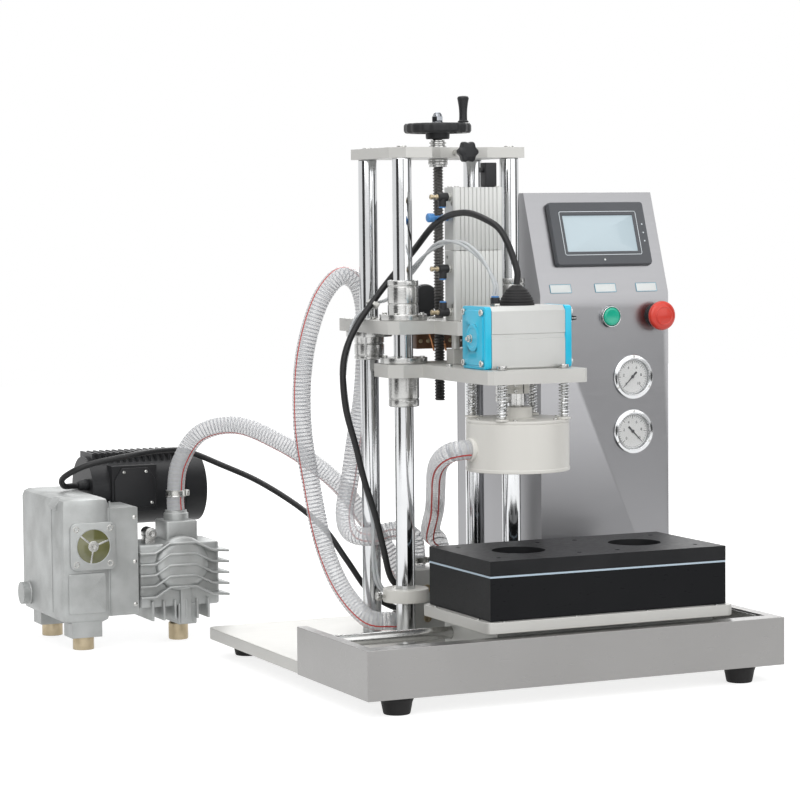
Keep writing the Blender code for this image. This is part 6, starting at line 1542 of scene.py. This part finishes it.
def make_pump_castings():
    """Oil box with its seams, filler, drain and sight window; finned casting with the inlet neck."""
    refined("pump_oil_box", "frame", CAST_ALUMINIUM, 0.0035, 3)
    front = 0.653
    left = -0.460
    panel = prism(rectangle((-0.452, 0.052), (-0.398, 0.108), 0.003), -front, -front + 0.0022, 0.0010,
                  facing=FRONT)
    seams = [block((left - 0.0008, 0.700, 0.050), (left + 0.0002, 0.7012, 0.200), 0.0002),
             block((-0.3905, front + 0.001, 0.046), (-0.3893, front + 0.006, 0.206), 0.0002)]
    lean = math.radians(40)
    tilted = np.column_stack([(0, 1, 0), (math.sin(lean), 0, math.cos(lean)),
                              (-math.cos(lean), 0, math.sin(lean))])
    filler = prism(rectangle((-0.015, -0.009), (0.015, 0.009), 0.003), -0.006, 0.0045, 0.0012,
                   (left + 0.0035, 0.690, 0.2030), tilted)
    drain = joined(turned([(0, 0), (0.0170, 0), (0.0165, 0.0022), (0.0135, 0.0030), (0, 0.0030)],
                          (left, 0.815, 0.064), LEFT, 44, 0.0008),
                   hex_bolt((left - 0.0030, 0.815, 0.064), LEFT, 0.0160, 0.0080))
    keep("oil_box_seams", joined(panel, *seams), "frame", CAST_ALUMINIUM)
    keep("oil_filler_and_drain", joined(filler, drain), "frame", CAST_ALUMINIUM)
    cover = [pan_screw((-0.354, 0.656, z), FRONT, 0.0030, 0.0016) for z in (0.060, 0.120, 0.182)]
    keep("end_cover_screws", joined(*cover), "frame", ZINC_SCREW)

    low, high = box_of("pump_sight_glass")
    centre = np.array([(low[0] + high[0]) / 2, high[1], (low[2] + high[2]) / 2])
    half = (high[0] - low[0]) / 2
    thick = high[1] - low[1]
    plate = prism(rectangle((-half, -half), (half, half), 0.009), 0, thick - 0.0004, 0.0012, centre, FRONT)
    ring = turned([(0.0235, thick - 0.0010), (0.0262, thick - 0.0010), (0.0258, thick), (0.0240, thick),
                   (0.0235, thick - 0.0004)], centre, FRONT, 64, 0.0002, ring=True)
    keep("sight_window_plate", joined(plate, ring), "frame", CAST_ALUMINIUM,
         ("pump_sight_glass",))
    glass = turned([(0, thick - 0.0006), (0.0236, thick - 0.0006), (0.0234, thick - 0.0002),
                    (0, thick - 0.0002)], centre, FRONT, 56, 0.0001)
    keep("sight_window_glass", glass, "frame", OIL_GLASS)
    spokes = [turned([(0, thick - 0.0004), (0.0078, thick - 0.0004), (0.0074, thick + 0.0002),
                      (0.0030, thick + 0.0002), (0, thick - 0.0001)], centre, FRONT, 40, 0.0002)]
    for angle in np.radians([20, 140, 260]):
        across = spun(angle)
        spokes.append(prism(rectangle((0.0060, -0.0012), (0.0236, 0.0012), 0.0003), thick - 0.0004, thick,
                            0.0001, centre, FRONT @ across))
    bolts = [socket_screw(centre + FRONT @ (a * (half - 0.0085), b * (half - 0.0085), thick - 0.0030),
                          FRONT, 0.0046, 0.0028) for a in (-1, 1) for b in (-1, 1)]
    keep("sight_window_spokes", joined(*spokes, *bolts), "frame", ZINC_SCREW)

    low, high = box_of("pump_cylinder")
    x0, x1 = low[0], high[0]
    core = block((x0, 0.662, 0.052), (-0.2255, 0.738, 0.141), 0.003, 0.008)
    dome = turned([(0, -0.002), (0.040, -0.002), (0.038, 0.006), (0.030, 0.010), (0, 0.010)],
                  (-0.283, 0.663, 0.112), FRONT, 64, 0.003)
    inlet = block((-0.3005, 0.6745, 0.138), (-0.2535, 0.7255, 0.1705), 0.002, 0.004)
    neck = turned([(0, 0.168), (0.0175, 0.168), (0.0175, 0.1800), (0.0155, 0.1812), (0.0155, high[2]),
                   (0, high[2])], (*PUMP_INLET, 0), sides=56, edge=0.0006)
    rib = block((-0.287, 0.656, 0.028), (-0.271, 0.670, 0.135), 0.0015)
    fins = [wavy_fin(0.066 + k * 0.0155, -0.3475, x1, 0.650, 0.737, 0.0125) for k in range(5)]
    under = [block((-0.330 + k * 0.0165, 0.655, 0.034), (-0.3268 + k * 0.0165, 0.734, 0.062), 0.0008)
             for k in range(6)]
    floor_rib = block((-0.290, 0.660, 0.026), (-0.262, 0.734, 0.056), 0.002)
    keep("pump_casting", joined(core, dome, inlet, neck, rib, floor_rib, *fins, *under), "frame",
         CAST_ALUMINIUM, ("pump_cylinder",))
    foot = turned([(0, 0), (0.0132, 0), (0.0140, 0.002), (0.0140, 0.023), (0.0128, 0.0245), (0, 0.0245)],
                  (*PUMP_FOOT, 0), sides=44, edge=0.0005)
    sleeves = [turned([(0.0140, 0.0002), (0.0148, 0.0006), (0.0148, 0.0190), (0.0140, 0.0196)],
                      (-0.425, y, 0), sides=44, edge=0.0002, ring=True) for y in (0.675, 0.820)]
    keep("pump_feet", joined(foot, *sleeves), "frame", BRASS)
    keep("pump_foot_stud", bar((*PUMP_FOOT, 0.022), (*PUMP_FOOT, 0.036), 0.0060, 24), "frame", ZINC_SCREW)
    clip = hose_clamp((*PUMP_INLET, 0.2080), UP, CLIP_RADIUS)
    keep("pump_hose_clip", clip, "frame", ZINC_SCREW)
    banjo = joined(bar((-0.3255, 0.668, 0.156), (-0.3255, 0.690, 0.156), 0.0085, 32, 0.0008),
                   socket_screw((-0.3255, 0.668, 0.156), FRONT, 0.0058, 0.0040),
                   block((-0.3330, 0.672, 0.136), (-0.3180, 0.690, 0.157), 0.001))
    keep("oil_return_banjo", banjo, "frame", TURNED_STEEL)


def make_motor():
    """Finned motor shell, chamfered terminal box with its screws and gland, and the fan's cowl."""
    refined("pump_motor", "frame", BLACK_NYLON, 0.0012, 2)
    refined("pump_fan_cover", "frame", BLACK_NYLON, 0.0025, 3)
    low = box_of("pump_motor")[0]
    lid_outline = np.array([(-0.352, 0.186), (-0.295, 0.186), (-0.293, 0.190), (-0.293, 0.226),
                            (-0.304, 0.243), (-0.343, 0.243), (-0.354, 0.226), (-0.354, 0.190)])
    lid = prism(lid_outline, -low[1] - 0.0002, -low[1] + 0.0030, 0.0012, facing=FRONT)
    screws = [pan_screw((x, low[1] - 0.0030, z), FRONT, 0.0022, 0.0010) for x, z in
              ((-0.348, 0.192), (-0.299, 0.192), (-0.340, 0.237), (-0.307, 0.237))]
    keep("terminal_box_lid", lid, "frame", BLACK_NYLON)
    keep("terminal_box_screws", joined(*screws), "frame", ZINC_SCREW)
    gland = turned([(0.0046, -0.006), (0.0082, -0.006), (0.0082, 0.0), (0.0070, 0.001), (0.0070, 0.006),
                    (0.0060, 0.009), (0.0046, 0.010)], (low[0], 0.772, 0.2185), LEFT, 36, 0.0005, lobes=12,
                   lobe=0.02, ring=True)
    keep("cable_gland", gland, "frame", BLACK_NYLON)


# ------------------------------------------------------------------ manifold fittings, hose clips and tie
def make_manifold_fittings():
    """Clips for the hose nozzles, cable gland, tube fitting and plugs."""
    low, high = box_of("vacuum_manifold")
    clips = [hose_clamp((low[0] - 0.008, 0.345, 0.060), LEFT, CLIP_RADIUS),
             hose_clamp((-0.0665, 0.345, high[2] + 0.009), UP, CLIP_RADIUS),
             hose_clamp((-0.030, 0.345, high[2] + 0.009), UP, CLIP_RADIUS),
             hose_clamp((-0.040, high[1] + 0.009, 0.088), -FRONT @ np.diag([1, -1, 1]), CLIP_RADIUS)]
    keep("manifold_hose_clips", joined(*clips), "frame", ZINC_SCREW)
    gland = turned([(0.0044, 0), (0.0085, 0), (0.0085, 0.004), (0.0072, 0.005), (0.0072, 0.011),
                    (0.0060, 0.014), (0.0044, 0.015)], (low[0], 0.330, 0.110), LEFT, 36, 0.0005, lobes=12,
                   lobe=0.02, ring=True)
    ferrule = turned([(0.0044, 0), (0.0078, 0), (0.0078, 0.008), (0.0066, 0.0095), (0.0044, 0.0095)],
                     (low[0], 0.346, 0.095), LEFT, 32, 0.0005, ring=True)
    keep("manifold_gland", joined(gland, ferrule), "frame", BLACK_NYLON)
    plugs = [socket_screw((x, low[1], z), FRONT, 0.0052, 0.0020) for x in (-0.062, -0.018)
             for z in (0.064, 0.104)]
    keep("manifold_plugs", joined(*plugs), "frame", BRASS)


def tie_ring(centre, direction, width_x, width_y):
    """A flat nylon strap pulled round the bundle, with its square head and cut tail."""
    z = np.asarray(direction, float) / np.linalg.norm(direction)
    x = np.array([0.0, -1.0, 0.0])
    facing = np.column_stack([x, np.cross(z, x), z])
    turn = np.linspace(0, 2 * np.pi, 40, endpoint=False)
    rows = []
    for grow, height in ((0, -0.0022), (0, 0.0022), (0.0011, 0.0022), (0.0011, -0.0022)):
        rows.append(np.column_stack([(width_x + grow) * np.cos(turn), (width_y + grow) * np.sin(turn),
                                     np.full(len(turn), height)]))
    strap = grid(np.stack(rows) @ facing.T + np.asarray(centre), wrap_rows=True)
    head = prism(rectangle((width_x, -0.0028), (width_x + 0.0052, 0.0028), 0.0006), -0.0029, 0.0029, 0.0005,
                 centre, facing)
    tail = prism(rectangle((width_x + 0.0050, -0.0006), (width_x + 0.0090, 0.0006), 0.0002), -0.0019,
                 0.0019, 0.0002, centre, facing)
    return joined(strap, head, tail)


def make_ties():
    """One white tie where the cable meets the tubes at the lift."""
    upper = tie_ring((-0.128, 0.340, 0.4815), (-0.62, 0.0, -0.78), 0.0112, 0.0066)
    keep("cable_tie_upper", upper, "lift", WHITE_TIE)


make_pump_castings()
make_motor()
make_manifold_fittings()
make_ties()
